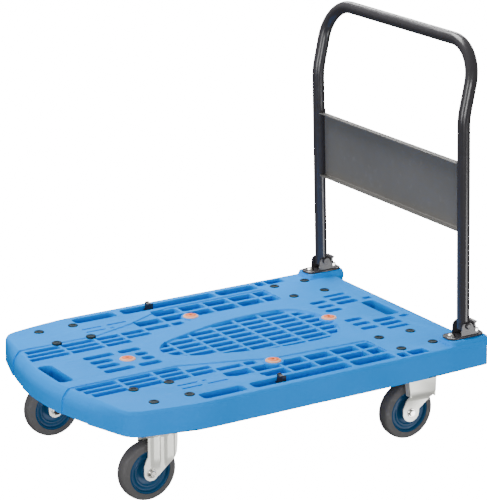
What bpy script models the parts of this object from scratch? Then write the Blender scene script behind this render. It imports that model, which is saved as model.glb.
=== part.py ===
"""Folding platform cart: plastic deck, four casters and a handle that folds down onto the deck.

Metres, +Z up. The origin is on the floor, under the middle of the deck. +X is the way the cart is
pushed, away from the handle, and +Y is the cart's left.
"""
import math

import bpy
import bmesh
from mathutils import Matrix, Vector

# Deck
DECK_LENGTH = 0.920
DECK_WIDTH = 0.610
DECK_TOP = 0.222
DECK_RIM = 0.169
DECK_EDGE_ROUND = 0.008
DECK_PLATE = 0.006
SKIRT_WALL = 0.006
RIB_FOOT = 0.184
GRID_RECESS = 0.004
RIB_WIDTH = 0.007
SLOT_WALL = 0.004
PAD_HEIGHT = 0.010

# Casters
WHEEL_RADIUS = 0.0625
WHEEL_WIDTH = 0.032
HUB_WIDTH = 0.039
WHEEL_STEPS = 24
HUB_RADIUS = 0.046
WHEEL_Y = 0.2070
FRONT_CASTER_X = 0.290
REAR_CASTER_X = -0.310
FRONT_TRAIL = 0.037
REAR_AXLE_X = -0.312
CASTER_PLATE = 0.105
CASTER_SHEET = 0.004
CASTER_PLATE_TOP = 0.1685
BOLT_SPACING = 0.082
FORK_SHEET = 0.003
FORK_GAP = 0.040
FORK_CROWN = 0.140

# Handle
HANDLE_X = -0.412
HANDLE_HALF_WIDTH = 0.2715
TUBE_RADIUS = 0.0136
TUBE_WALL = 0.002
PIVOT_Z = 0.2575
LOWER_LEAN = math.radians(1.7)
UPPER_LEAN = math.radians(-11.6)
KINK_Z = 0.708
HANDLE_TOP_Z = 0.859
KINK_RADIUS = 0.080
CORNER_RADIUS = 0.082
TUBE_BELOW_PIVOT = 0.009
PANEL_LOW = 0.462
PANEL_HIGH = 0.610
PANEL_DEPTH = 0.017
PANEL_SHEET = 0.0015

# Handle brackets
BRACKET_LENGTH = 0.092
BRACKET_WIDTH = 0.040
BRACKET_SHEET = 0.004
CHEEK_SHEET = 0.003
CHEEK_GAP = 0.0284
BRACKET_BOLT_X = 0.031
LEVER_PIN_X = -0.0225
LEVER_PIN_UP = 0.010

# Clearance between touching pieces
GAP = 0.0003

SIDES = (("left", 1), ("right", -1))


# ---------------------------------------------------------------- scene and materials

def clear_scene():
    for old in list(bpy.data.objects):
        bpy.data.objects.remove(old, do_unlink=True)
    for old in list(bpy.data.collections):
        bpy.data.collections.remove(old)


def make_collection(name):
    made = bpy.data.collections.new(name)
    bpy.context.scene.collection.children.link(made)
    return made


def make_material(name, color, roughness, metallic):
    made = bpy.data.materials.new(name)
    made.use_nodes = True
    shader = made.node_tree.nodes["Principled BSDF"]
    shader.inputs["Base Color"].default_value = (*color, 1.0)
    shader.inputs["Roughness"].default_value = roughness
    shader.inputs["Metallic"].default_value = metallic
    made.diffuse_color = (*color, 1.0)
    return made


clear_scene()
PARTS = make_collection("folding_platform_cart")
CUTTERS = make_collection("cutters")

BLUE_PLASTIC = make_material("blue_plastic", (0.10, 0.40, 0.78), 0.45, 0.0)
ORANGE_RUBBER = make_material("orange_rubber", (0.85, 0.25, 0.08), 0.7, 0.0)
BLACK_PLASTIC = make_material("black_plastic", (0.02, 0.02, 0.025), 0.5, 0.0)
DARK_PAINT = make_material("dark_paint", (0.05, 0.05, 0.055), 0.4, 0.2)
ZINC = make_material("zinc", (0.75, 0.75, 0.72), 0.35, 1.0)
GREY_RUBBER = make_material("grey_rubber", (0.09, 0.085, 0.09), 0.75, 0.0)
HUB_BLUE = make_material("hub_blue", (0.01, 0.08, 0.27), 0.4, 0.0)


# ---------------------------------------------------------------- modelling helpers

def add_part(name, mesh, material, matrix=None):
    made = bpy.data.objects.new(name, mesh)
    PARTS.objects.link(made)
    mesh.materials.clear()
    mesh.materials.append(material)
    if matrix is not None:
        made.matrix_world = matrix
    return made


def add_cutter(name, mesh, matrix=None):
    made = bpy.data.objects.new(name, mesh)
    CUTTERS.objects.link(made)
    made.hide_render = True
    made.display_type = "WIRE"
    if matrix is not None:
        made.matrix_world = matrix
    return made


def add_boolean(target, cutter, operation):
    step = target.modifiers.new(operation.lower(), "BOOLEAN")
    step.operation = operation
    step.object = cutter
    step.solver = "EXACT"
    return step


def evaluated_mesh(source, name):
    """The source curve's mesh as its bevel, extrusion and fill settings leave it."""
    bpy.context.view_layer.update()
    shape = source.evaluated_get(bpy.context.evaluated_depsgraph_get())
    made = bpy.data.meshes.new_from_object(shape)
    made.name = name
    return made


def outline_mesh(name, outlines, low, high):
    """Closed prisms between two heights, one for each outline."""
    curve = bpy.data.curves.new(name, "CURVE")
    curve.dimensions = "2D"
    curve.fill_mode = "BOTH"
    curve.extrude = (high - low) / 2
    for outline in outlines:
        spline = curve.splines.new("POLY")
        spline.points.add(len(outline) - 1)
        for point, (x, y) in zip(spline.points, outline):
            point.co = (x, y, 0.0, 1.0)
        spline.use_cyclic_u = True
    holder = bpy.data.objects.new(name, curve)
    CUTTERS.objects.link(holder)
    mesh = evaluated_mesh(holder, name)
    bpy.data.objects.remove(holder)
    bpy.data.curves.remove(curve)
    weld(mesh)
    mesh.transform(Matrix.Translation((0, 0, (low + high) / 2)))
    return mesh


def weld(mesh):
    shape = bmesh.new()
    shape.from_mesh(mesh)
    bmesh.ops.remove_doubles(shape, verts=shape.verts, dist=1e-6)
    bmesh.ops.dissolve_limit(shape, angle_limit=0.002, verts=shape.verts, edges=shape.edges)
    bmesh.ops.recalc_face_normals(shape, faces=shape.faces)
    shape.to_mesh(mesh)
    shape.free()


def rods_mesh(name, radius, low, high, places, sides=10):
    """Upright closed cylinders at each place."""
    shape = bmesh.new()
    for x, y in places:
        at = Matrix.Translation((x, y, (low + high) / 2))
        bmesh.ops.create_cone(shape, cap_ends=True, segments=sides, radius1=radius, radius2=radius,
                              depth=high - low, matrix=at)
    mesh = bpy.data.meshes.new(name)
    shape.to_mesh(mesh)
    shape.free()
    return mesh


def turned_part(name, profile, material, matrix, steps, closed=False):
    """A profile of (radius, height) points, top to bottom, turned about its own Z axis."""
    mesh = bpy.data.meshes.new(name)
    points = [(radius, 0.0, height) for radius, height in profile]
    edges = [(i, i + 1) for i in range(len(points) - 1)]
    if closed:
        edges.append((len(points) - 1, 0))
    mesh.from_pydata(points, edges, [])
    made = add_part(name, mesh, material, matrix)
    screw = made.modifiers.new("turn", "SCREW")
    screw.axis = "Z"
    screw.angle = math.tau
    screw.steps = steps
    screw.render_steps = steps
    screw.use_merge_vertices = True
    screw.merge_threshold = 0.00001
    screw.use_smooth_shade = False
    return made


def along_y(x, y, z):
    """Turns a piece so that its own +Z points along world +Y, at the given place."""
    return Matrix.Translation((x, y, z)) @ Matrix.Rotation(-math.pi / 2, 4, "X")


def upright_outline(name, outline, low_y, high_y):
    """A closed prism of an outline drawn in X and Z, between two values of Y."""
    mesh = outline_mesh(name, [outline], -high_y, -low_y)
    mesh.transform(Matrix.Rotation(math.pi / 2, 4, "X"))
    return mesh


def sideways_outline(name, outline, low_x, high_x):
    """A closed prism of an outline drawn in Y and Z, between two values of X."""
    mesh = outline_mesh(name, [outline], low_x, high_x)
    turn = Matrix(((0, 0, 1, 0), (1, 0, 0, 0), (0, 1, 0, 0), (0, 0, 0, 1)))
    mesh.transform(turn)
    return mesh


def arc(centre, radius, start, end, count):
    """Points on an arc, with the angles in degrees."""
    made = []
    for i in range(count):
        angle = math.radians(start + (end - start) * i / (count - 1))
        made.append((centre[0] + radius * math.cos(angle), centre[1] + radius * math.sin(angle)))
    return made


def rectangle(x0, x1, y0, y1):
    return [(x0, y0), (x1, y0), (x1, y1), (x0, y1)]


def rounded_rectangle(x0, x1, y0, y1, radius, count=3):
    made = arc((x1 - radius, y1 - radius), radius, 0, 90, count)
    made += arc((x0 + radius, y1 - radius), radius, 90, 180, count)
    made += arc((x0 + radius, y0 + radius), radius, 180, 270, count)
    made += arc((x1 - radius, y0 + radius), radius, 270, 360, count)
    return made


def mirrored(half):
    """A half outline, from its rear end to its front end at +Y, closed by its mirror image."""
    return half + [(x, -y) for x, y in reversed(half) if abs(y) > 1e-9]


# ---------------------------------------------------------------- deck layout

# Cross ribs that run over the whole deck, from front to rear.
CROSS_RIBS = (0.331, 0.248, 0.186, 0.126, 0.061, -0.004, -0.069, -0.134, -0.200)
BAND_REAR = -0.235
BAND_FRONT = 0.425

# Rows of slots in the side bands: inner and outer distance from the centreline, rear and front end.
BAND_ROWS = (
    (0.091, 0.110, 0.186, BAND_FRONT),
    (0.117, 0.132, 0.126, 0.420),
    (0.139, 0.157, 0.030, 0.413),
    (0.171, 0.201, BAND_REAR, 0.126),
    (0.211, 0.241, BAND_REAR, 0.061),
)
LEAF_ROWS = (0.014, 0.042, 0.070, 0.098)
LEAF_SLOT_WIDTH = 0.017
STUD_SIDE_Y = 0.168
STUDS = (
    ("front", 0.252, 0.0),
    ("rear", -0.252, 0.0),
    ("left", 0.000, STUD_SIDE_Y),
    ("right", 0.000, -STUD_SIDE_Y),
)
STUD_SEAT_RADIUS = 0.022
CHANNEL = (0.255, 0.286)
CHANNEL_SPANS = ((0.133, 0.235), (-0.122, 0.116), (-0.232, -0.130))
REAR_CHANNEL = (0.268, 0.293)
REAR_CHANNEL_SPANS = ((-0.262, -0.240), (-0.311, -0.267))
FRONT_SLOTS = (
    (0.0455, 0.261, 0.330),
    (0.0455, 0.197, 0.248),
    (0.0145, 0.280, 0.330),
    (0.0145, 0.197, 0.224),
)
CLIP_X = 0.046


def deck_outline():
    """The deck from above: recessed rear edge, straight sides, tapered and bowed front."""
    half_length = DECK_LENGTH / 2
    half_width = DECK_WIDTH / 2
    half = [(-half_length + 0.025, 0.240), (-half_length, 0.248)]
    half += arc((-half_length + 0.012, half_width - 0.012), 0.012, 180, 90, 4)
    half += [(0.230, half_width), (0.264, 0.3035), (0.300, 0.2975), (0.342, 0.2905)]
    start = Vector((0.375, 0.2835))
    bend = Vector((0.4005, 0.2780))
    end = Vector((0.4085, 0.2560))
    for i in range(5):
        t = i / 4
        point = start * (1 - t) ** 2 + bend * 2 * t * (1 - t) + end * t * t
        half.append((point.x, point.y))
    for y in (0.172, 0.115, 0.057, 0.0):
        half.append((half_length - 0.0245 * (y / 0.172) ** 2, y))
    return mirrored(half)


def leaf_outline():
    """The pointed leaf-shaped grid in the middle of the deck."""
    half = [(0.170, 0.006), (0.160, 0.030), (0.135, 0.052), (0.070, 0.074), (0.005, 0.094)]
    half += [(-0.060, 0.106), (-0.120, 0.110), (-0.190, 0.108), (-0.222, 0.090)]
    half += [(-0.246, 0.045), (-0.252, 0.006)]
    return mirrored(half)


def band_outline(side, inset):
    """The long grid between the leaf and a side edge, stepping outwards towards the rear."""
    inner = [(BAND_FRONT - inset, 0.088 + inset), (0.190, 0.088 + inset), (0.030, 0.137 + inset)]
    inner += [(0.0, 0.160 + inset), (BAND_REAR + inset, 0.166 + inset)]
    outer = [(BAND_REAR + inset, 0.244 - inset), (0.020, 0.244 - inset), (0.060, 0.230 - inset)]
    outer += [(0.140, 0.192 - inset), (0.235, 0.165 - inset), (BAND_FRONT - inset, 0.165 - inset)]
    outline = inner + outer
    return [(x, y * side) for x, y in outline][::side]


def spans_between_ribs(low, high):
    """The clear stretches of X between the cross ribs, from low to high."""
    half_rib = RIB_WIDTH / 2
    edges = [high] + [x for x in CROSS_RIBS if low + RIB_WIDTH < x < high - RIB_WIDTH] + [low]
    made = []
    for front, rear in zip(edges, edges[1:]):
        x1 = front if front == high else front - half_rib
        x0 = rear if rear == low else rear + half_rib
        made.append((x0, x1))
    return made


def band_slots(side):
    made = []
    for inner, outer, rear, front in BAND_ROWS:
        low, high = sorted((inner * side, outer * side))
        made += [rectangle(x0, x1, low, high) for x0, x1 in spans_between_ribs(rear, front)]
    return made


def leaf_slots():
    made = []
    half = LEAF_SLOT_WIDTH / 2
    for row in LEAF_ROWS:
        for y in (row, -row):
            for x0, x1 in spans_between_ribs(-0.255, 0.175):
                made.append(rectangle(x0, x1, y - half, y + half))
    return made


def plain_slots():
    """The slots that lie outside the grids: edge channels, front and rear groups."""
    made = []
    for side in (1, -1):
        for (inner, outer), spans in ((CHANNEL, CHANNEL_SPANS), (REAR_CHANNEL, REAR_CHANNEL_SPANS)):
            low, high = sorted((inner * side, outer * side))
            made += [rectangle(x0, x1, low, high) for x0, x1 in spans]
        for y, x0, x1 in FRONT_SLOTS:
            made.append(rectangle(x0, x1, y * side - LEAF_SLOT_WIDTH / 2, y * side + LEAF_SLOT_WIDTH / 2))
        for y in (0.038, 0.069, 0.100):
            made.append(rectangle(-0.312, -0.270, y * side - 0.008, y * side + 0.008))
        for y, half in ((0.071, 0.009), (0.099, 0.008), (0.125, 0.006)):
            made.append(rectangle(-0.377, -0.322, y * side - half, y * side + half))
        made.append(rectangle(-0.413, -0.391, side * 0.072 - 0.008, side * 0.072 + 0.008))
    return made


def hand_slots():
    return [rounded_rectangle(0.405, 0.437, -0.054, 0.054, 0.010),
            rounded_rectangle(-0.405, -0.371, -0.052, 0.052, 0.006)]


def caster_bolt_places():
    half = BOLT_SPACING / 2
    made = []
    for end, caster_x in (("front", FRONT_CASTER_X), ("rear", REAR_CASTER_X)):
        for side_name, side in SIDES:
            corners = ((half, half), (half, -half), (-half, -half), (-half, half))
            for number, (dx, dy) in enumerate(corners, 1):
                name = f"caster_bolt_{end}_{side_name}_{number}"
                made.append((name, caster_x + dx, WHEEL_Y * side + dy))
    return made


def underside_pockets():
    """Blind pockets under the plain areas, in line with the ribs, clear of slots and fixings."""
    taken = [bounds_of(slot) for slot in plain_slots() + hand_slots() + leaf_slots()]
    for side in (1, -1):
        taken += [bounds_of(slot) for slot in band_slots(side)]
        for caster_x in (FRONT_CASTER_X, REAR_CASTER_X):
            for dx in (-0.041, 0.041):
                for dy in (-0.041, 0.041):
                    at = (caster_x + dx, WHEEL_Y * side + dy)
                    taken.append((at[0] - 0.010, at[0] + 0.010, at[1] - 0.010, at[1] + 0.010))
        taken.append((-0.460, -0.365, min(side * 0.250, side * 0.300), max(side * 0.250, side * 0.300)))
    taken += [(x - 0.012, x + 0.012, y - 0.012, y + 0.012) for _, x, y in STUDS]
    made = []
    columns = [0.415] + list(CROSS_RIBS) + [-0.262, -0.316, -0.366, -0.430]
    for front, rear in zip(columns, columns[1:]):
        x0 = rear + RIB_WIDTH / 2
        x1 = front - RIB_WIDTH / 2
        reach = 0.296 if front < 0.25 else 0.296 - 0.35 * (front - 0.20)
        for i in range(-11, 11):
            y0 = i * 0.028 + 0.003
            y1 = (i + 1) * 0.028 - 0.003
            clear = max(abs(y0), abs(y1)) < reach
            for a0, a1, b0, b1 in taken:
                along = x0 < a1 + SLOT_WALL and x1 > a0 - SLOT_WALL
                across = y0 < b1 + SLOT_WALL and y1 > b0 - SLOT_WALL
                if along and across:
                    clear = False
            if clear:
                made.append(rectangle(x0, x1, y0, y1))
    return made


def inner_outline():
    """The inside of the skirt."""
    shrink_x = 1 - SKIRT_WALL * 2 / DECK_LENGTH
    shrink_y = 1 - SKIRT_WALL * 2 / DECK_WIDTH
    return [(x * shrink_x, y * shrink_y) for x, y in deck_outline()]


def caster_bosses():
    """Square blocks under the deck that the caster plates are bolted to."""
    half = CASTER_PLATE / 2 + 0.002
    made = []
    for x in (FRONT_CASTER_X, REAR_CASTER_X):
        for side in (1, -1):
            y = WHEEL_Y * side
            made.append(rectangle(x - half, x + half, y - half, y + half))
    return made


def bounds_of(outline):
    xs = [x for x, _ in outline]
    ys = [y for _, y in outline]
    return min(xs), max(xs), min(ys), max(ys)


# ---------------------------------------------------------------- deck and what sits on it

def make_deck():
    below = DECK_RIM - 0.01
    above = DECK_TOP + 0.01
    mesh = outline_mesh("deck", [deck_outline()], DECK_RIM, DECK_TOP)
    weight = mesh.attributes.new("bevel_weight_edge", "FLOAT", "EDGE")
    for edge in mesh.edges:
        on_top = all(mesh.vertices[v].co.z > DECK_TOP - 0.001 for v in edge.vertices)
        weight.data[edge.index].value = 1.0 if on_top else 0.0
    deck = add_part("deck", mesh, BLUE_PLASTIC)
    bevel = deck.modifiers.new("top edge", "BEVEL")
    bevel.limit_method = "WEIGHT"
    bevel.width = DECK_EDGE_ROUND
    bevel.segments = 2

    hollow = outline_mesh("hollow", [inner_outline()], below, RIB_FOOT)
    hollow = add_cutter("hollow", hollow)
    boss_blocks = outline_mesh("bosses", caster_bosses(), below - 0.01, RIB_FOOT + 0.01)
    add_boolean(hollow, add_cutter("bosses", boss_blocks), "DIFFERENCE")
    add_boolean(deck, hollow, "DIFFERENCE")

    pads = []
    for _, side in SIDES:
        low, high = sorted((side * 0.248, side * 0.300))
        pads.append(rounded_rectangle(-0.458, -0.3635, low, high, 0.008))
    pad_top = DECK_TOP + PAD_HEIGHT
    add_boolean(deck, add_cutter("pads", outline_mesh("pads", pads, DECK_TOP - 0.015, pad_top)), "UNION")

    recess = outline_mesh("leaf recess", [leaf_outline()], DECK_TOP - GRID_RECESS, above)
    add_boolean(deck, add_cutter("leaf_recess", recess), "DIFFERENCE")
    bands = [band_outline(side, 0.0) for side in (1, -1)]
    recess = outline_mesh("band recess", bands, DECK_TOP - GRID_RECESS / 2, above)
    add_boolean(deck, add_cutter("band_recess", recess), "DIFFERENCE")

    leaf_cells = add_cutter("leaf_cells", outline_mesh("leaf cells", leaf_slots(), below, above))
    inner_leaf = [(x * 0.985, y * 0.965) for x, y in leaf_outline()]
    limit = outline_mesh("leaf limit", [inner_leaf], below - 0.01, above + 0.01)
    limit = add_cutter("leaf_limit", limit)
    add_boolean(leaf_cells, limit, "INTERSECT")
    seats = [(x, y) for _, x, y in STUDS]
    seat_rods = rods_mesh("stud seats", STUD_SEAT_RADIUS, below - 0.02, above + 0.02, seats, 12)
    seat_blocks = add_cutter("stud_seats", seat_rods)
    add_boolean(leaf_cells, seat_blocks, "DIFFERENCE")
    add_boolean(deck, leaf_cells, "DIFFERENCE")

    band_cells = band_slots(1) + band_slots(-1)
    band_cells = add_cutter("band_cells", outline_mesh("band cells", band_cells, below, above))
    bands = [band_outline(side, 0.003) for side in (1, -1)]
    limit = add_cutter("band_limit", outline_mesh("band limit", bands, below - 0.01, above + 0.01))
    add_boolean(band_cells, limit, "INTERSECT")
    add_boolean(band_cells, seat_blocks, "DIFFERENCE")
    add_boolean(deck, band_cells, "DIFFERENCE")

    holes = add_cutter("slots", outline_mesh("slots", plain_slots() + hand_slots(), below, above))
    add_boolean(deck, holes, "DIFFERENCE")
    pockets = outline_mesh("pockets", underside_pockets(), below, DECK_TOP - DECK_PLATE)
    add_boolean(deck, add_cutter("pockets", pockets), "DIFFERENCE")

    caster_places = [(x, y) for _, x, y in caster_bolt_places()]
    drill = rods_mesh("caster bolt holes", 0.0045, below, above, caster_places, 8)
    add_boolean(deck, add_cutter("caster_bolt_holes", drill), "DIFFERENCE")
    bracket_places = []
    for _, side in SIDES:
        for dx in (-BRACKET_BOLT_X, BRACKET_BOLT_X):
            bracket_places.append((HANDLE_X + dx, HANDLE_HALF_WIDTH * side))
    drill = rods_mesh("bracket bolt holes", 0.0045, below, above + PAD_HEIGHT, bracket_places, 8)
    add_boolean(deck, add_cutter("bracket_bolt_holes", drill), "DIFFERENCE")
    drill = rods_mesh("stud holes", 0.0065, DECK_TOP - 0.012, above, seats, 8)
    add_boolean(deck, add_cutter("stud_holes", drill), "DIFFERENCE")


def make_anti_slip_studs():
    """Flat rubber buttons on the deck, with a small hole in the crown and a stem in the deck."""
    profile = [(0.0, 0.0025), (0.003, 0.0025), (0.004, 0.0042), (0.011, 0.0036), (0.0165, 0.0015)]
    profile += [(0.0170, GAP), (0.006, GAP), (0.006, -0.010), (0.0, -0.010)]
    for name, x, y in STUDS:
        at = Matrix.Translation((x, y, DECK_TOP))
        turned_part(f"anti_slip_stud_{name}", profile, ORANGE_RUBBER, at, 14)


def make_tube_clips():
    """Cradles over the edge channels, which hold the folded handle."""
    cradle_z = PIVOT_Z - (CLIP_X - HANDLE_X) * math.tan(LOWER_LEAN)
    for name, side in SIDES:
        y = side * HANDLE_HALF_WIDTH
        half = [(0.014, -0.012), (0.014, -0.006), (0.011, -0.006), (0.011, 0.0105)]
        outline = half + [(-across, up) for across, up in reversed(half)]
        outline = [(y + across, DECK_TOP + up) for across, up in outline]
        block = sideways_outline("clip", outline, CLIP_X - 0.0045, CLIP_X + 0.0045)
        clip = add_part(f"tube_clip_{name}", block, BLACK_PLASTIC)
        saddle = rods_mesh("saddle", TUBE_RADIUS + 0.0008, -0.02, 0.02, [(0, 0)], 20)
        at = Matrix.Translation((CLIP_X, y, cradle_z)) @ Matrix.Rotation(math.pi / 2, 4, "Y")
        add_boolean(clip, add_cutter(f"saddle_{name}", saddle, at), "DIFFERENCE")


# ---------------------------------------------------------------- handle

def handle_path():
    """The centreline of the bent tube, from the left foot over the top to the right foot."""
    low = Vector((math.sin(LOWER_LEAN), 0, math.cos(LOWER_LEAN)))
    high = Vector((math.sin(UPPER_LEAN), 0, math.cos(UPPER_LEAN)))
    pivot = Vector((HANDLE_X, HANDLE_HALF_WIDTH, PIVOT_Z))
    kink = pivot + low * ((KINK_Z - PIVOT_Z) / low.z)
    top = kink + high * ((HANDLE_TOP_Z - KINK_Z) / high.z)
    trim = KINK_RADIUS * math.tan((LOWER_LEAN - UPPER_LEAN) / 2)
    half = [pivot - low * TUBE_BELOW_PIVOT]
    for i in range(3):
        t = i / 2
        before = (kink - low * trim) * (1 - t) ** 2
        after = (kink + high * trim) * t * t
        half.append(before + kink * 2 * t * (1 - t) + after)
    centre = top - high * CORNER_RADIUS - Vector((0, CORNER_RADIUS, 0))
    for i in range(8):
        angle = math.radians(90 * i / 7)
        across = Vector((0, math.cos(angle), 0)) * CORNER_RADIUS
        half.append(centre + across + high * CORNER_RADIUS * math.sin(angle))
    return half + [Vector((p.x, -p.y, p.z)) for p in reversed(half)]


def make_handle_tube():
    curve = bpy.data.curves.new("handle path", "CURVE")
    curve.dimensions = "3D"
    curve.bevel_depth = TUBE_RADIUS
    curve.bevel_resolution = 4
    curve.use_fill_caps = False
    path = handle_path()
    spline = curve.splines.new("POLY")
    spline.points.add(len(path) - 1)
    for point, place in zip(spline.points, path):
        point.co = (*place, 1.0)
    holder = bpy.data.objects.new("handle path", curve)
    CUTTERS.objects.link(holder)
    mesh = evaluated_mesh(holder, "handle_tube")
    bpy.data.objects.remove(holder)
    weld(mesh)
    pivot = Vector((HANDLE_X, 0, PIVOT_Z))
    mesh.transform(Matrix.Translation(-pivot))
    tube = add_part("handle_tube", mesh, DARK_PAINT, Matrix.Translation(pivot))
    wall = tube.modifiers.new("wall", "SOLIDIFY")
    wall.thickness = TUBE_WALL
    wall.offset = -1.0
    wall.use_even_offset = True
    drill = rods_mesh("pivot holes", 0.0045, -0.32, 0.32, [(0, 0)], 10)
    add_boolean(tube, add_cutter("pivot_holes", drill, along_y(HANDLE_X, 0, PIVOT_Z)), "DIFFERENCE")


def handle_frame():
    """The place and tilt of the straight lower part of the handle, at the pivot."""
    return Matrix.Translation((HANDLE_X, 0, PIVOT_Z)) @ Matrix.Rotation(LOWER_LEAN, 4, "Y")


def make_handle_panel():
    """A sheet-metal panel between the uprights, with its edges folded forwards."""
    low = (PANEL_LOW - PIVOT_Z) / math.cos(LOWER_LEAN)
    high = (PANEL_HIGH - PIVOT_Z) / math.cos(LOWER_LEAN)
    half_width = HANDLE_HALF_WIDTH - TUBE_RADIUS - GAP
    front = PANEL_DEPTH / 2
    bend = 0.004
    section = [(front, low)]
    section += arc((-front + bend, low + bend), bend, 270, 180, 3)
    section += arc((-front + bend, high - bend), bend, 180, 90, 3)
    section += [(front, high)]
    points = [(x, side * half_width, z) for side in (-1, 1) for x, z in section]
    count = len(section)
    faces = [(i, i + 1, count + i + 1, count + i) for i in range(count - 1)]
    mesh = bpy.data.meshes.new("handle_panel")
    mesh.from_pydata(points, [], faces)
    panel = add_part("handle_panel", mesh, DARK_PAINT, handle_frame())
    sheet = panel.modifiers.new("sheet", "SOLIDIFY")
    sheet.thickness = PANEL_SHEET
    sheet.offset = 1.0
    sheet.use_even_offset = True


def make_tube_end_plugs():
    """Plastic plugs that close the lower ends of the tube."""
    inner = TUBE_RADIUS - TUBE_WALL - GAP
    top = -0.0052
    end = -TUBE_BELOW_PIVOT - GAP
    profile = [(0.0, top), (inner, top), (inner, end), (TUBE_RADIUS - 0.0006, end)]
    profile += [(TUBE_RADIUS - 0.002, end - 0.0015), (0.0, end - 0.0015)]
    for name, side in SIDES:
        at = handle_frame() @ Matrix.Translation((0, side * HANDLE_HALF_WIDTH, 0))
        turned_part(f"tube_end_plug_{name}", profile, BLACK_PLASTIC, at, 12)


# ---------------------------------------------------------------- handle brackets and locks

def cheek_outline():
    """The side wall of a bracket in X and Z, about the pivot axis."""
    foot = DECK_TOP + PAD_HEIGHT + BRACKET_SHEET / 2 - PIVOT_Z
    made = [(-0.029, foot), (0.0165, foot), (0.0155, -0.004)]
    made += arc((0.0055, -0.004), 0.0100, 15, 90, 3)
    made += [(-0.0080, 0.006), (-0.0125, 0.002), (-0.0155, -0.0060), (-0.0275, -0.007), (-0.029, -0.0085)]
    return [(HANDLE_X + x, PIVOT_Z + z) for x, z in made]


def make_handle_brackets():
    base = DECK_TOP + PAD_HEIGHT + GAP
    half = BRACKET_LENGTH / 2
    for name, side in SIDES:
        y = side * HANDLE_HALF_WIDTH
        low = y - BRACKET_WIDTH / 2
        high = y + BRACKET_WIDTH / 2
        plan = rounded_rectangle(HANDLE_X - half, HANDLE_X + half, low, high, 0.014, 4)
        mesh = outline_mesh("bracket base", [plan], base, base + BRACKET_SHEET)
        bracket = add_part(f"handle_bracket_{name}", mesh, DARK_PAINT)
        for number, across in enumerate((1, -1)):
            inner = y + across * CHEEK_GAP / 2
            outer = y + across * (CHEEK_GAP / 2 + CHEEK_SHEET)
            cheek = upright_outline("cheek", cheek_outline(), min(inner, outer), max(inner, outer))
            add_boolean(bracket, add_cutter(f"cheek_{name}_{number}", cheek), "UNION")
        drill = rods_mesh("pivot hole", 0.0045, -0.03, 0.03, [(0, 0)], 10)
        at = along_y(HANDLE_X, y, PIVOT_Z)
        add_boolean(bracket, add_cutter(f"pivot_drill_{name}", drill, at), "DIFFERENCE")
        pin_z = base + BRACKET_SHEET + LEVER_PIN_UP
        drill = rods_mesh("lever pin hole", 0.0023, -0.03, 0.03, [(0, 0)], 8)
        at = along_y(HANDLE_X + LEVER_PIN_X, y, pin_z)
        add_boolean(bracket, add_cutter(f"lever_drill_{name}", drill, at), "DIFFERENCE")
        places = [(HANDLE_X - BRACKET_BOLT_X, y), (HANDLE_X + BRACKET_BOLT_X, y)]
        drill = rods_mesh("bolt holes", 0.0045, base - 0.01, base + 0.02, places, 8)
        add_boolean(bracket, add_cutter(f"bracket_drill_{name}", drill), "DIFFERENCE")


def make_bracket_bolts():
    """Dome-headed bolts through each bracket into the deck."""
    seat = DECK_TOP + PAD_HEIGHT + 2 * GAP + BRACKET_SHEET
    profile = [(0.0, 0.0055), (0.0040, 0.0050), (0.0075, 0.0032), (0.0090, 0.0)]
    profile += [(0.0040, 0.0), (0.0040, -0.040), (0.0, -0.040)]
    for name, side in SIDES:
        for end, dx in (("front", BRACKET_BOLT_X), ("rear", -BRACKET_BOLT_X)):
            at = Matrix.Translation((HANDLE_X + dx, side * HANDLE_HALF_WIDTH, seat))
            turned_part(f"bracket_bolt_{name}_{end}", profile, ZINC, at, 12)


def make_pivot_bolts():
    """The bolts that the handle turns on, through both cheeks and the tube."""
    reach = CHEEK_GAP / 2 + CHEEK_SHEET + GAP
    profile = [(0.0, reach + 0.004), (0.0045, reach + 0.004), (0.0070, reach + 0.0015), (0.0070, reach)]
    profile += [(0.0040, reach), (0.0040, -reach), (0.0065, -reach)]
    profile += [(0.0065, -reach - 0.004), (0.0, -reach - 0.004)]
    for name, side in SIDES:
        at = along_y(HANDLE_X, side * HANDLE_HALF_WIDTH, PIVOT_Z)
        if side < 0:
            at = at @ Matrix.Rotation(math.pi, 4, "X")
        turned_part(f"pivot_bolt_{name}", profile, ZINC, at, 12)


def lever_pin_place(side):
    base = DECK_TOP + PAD_HEIGHT + GAP + BRACKET_SHEET
    return HANDLE_X + LEVER_PIN_X, side * HANDLE_HALF_WIDTH, base + LEVER_PIN_UP


def make_lock_levers():
    """Small catches behind the uprights, pressed back to let the handle fold."""
    outline = [(-0.0036, -0.0045), (0.0034, -0.0045), (0.0038, 0.004), (0.0036, 0.013), (0.0008, 0.0165)]
    outline += [(-0.0052, 0.0175), (-0.0056, 0.0155), (-0.0012, 0.0120), (-0.0034, 0.003)]
    half = CHEEK_GAP / 2 - 0.0012
    for name, side in SIDES:
        x, y, z = lever_pin_place(side)
        mesh = upright_outline("lever", outline, -half, half)
        lever = add_part(f"lock_lever_{name}", mesh, DARK_PAINT, Matrix.Translation((x, y, z)))
        drill = rods_mesh("lever bore", 0.0023, -0.03, 0.03, [(0, 0)], 8)
        add_boolean(lever, add_cutter(f"lever_bore_{name}", drill, along_y(x, y, z)), "DIFFERENCE")


def make_lock_lever_pins():
    reach = CHEEK_GAP / 2 + CHEEK_SHEET + GAP
    profile = [(0.0, reach + 0.0015), (0.0035, reach + 0.0015), (0.0035, reach), (0.0020, reach)]
    profile += [(0.0020, -reach), (0.0035, -reach), (0.0035, -reach - 0.0015), (0.0, -reach - 0.0015)]
    for name, side in SIDES:
        turned_part(f"lock_lever_pin_{name}", profile, ZINC, along_y(*lever_pin_place(side)), 10)


# ---------------------------------------------------------------- casters

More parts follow.
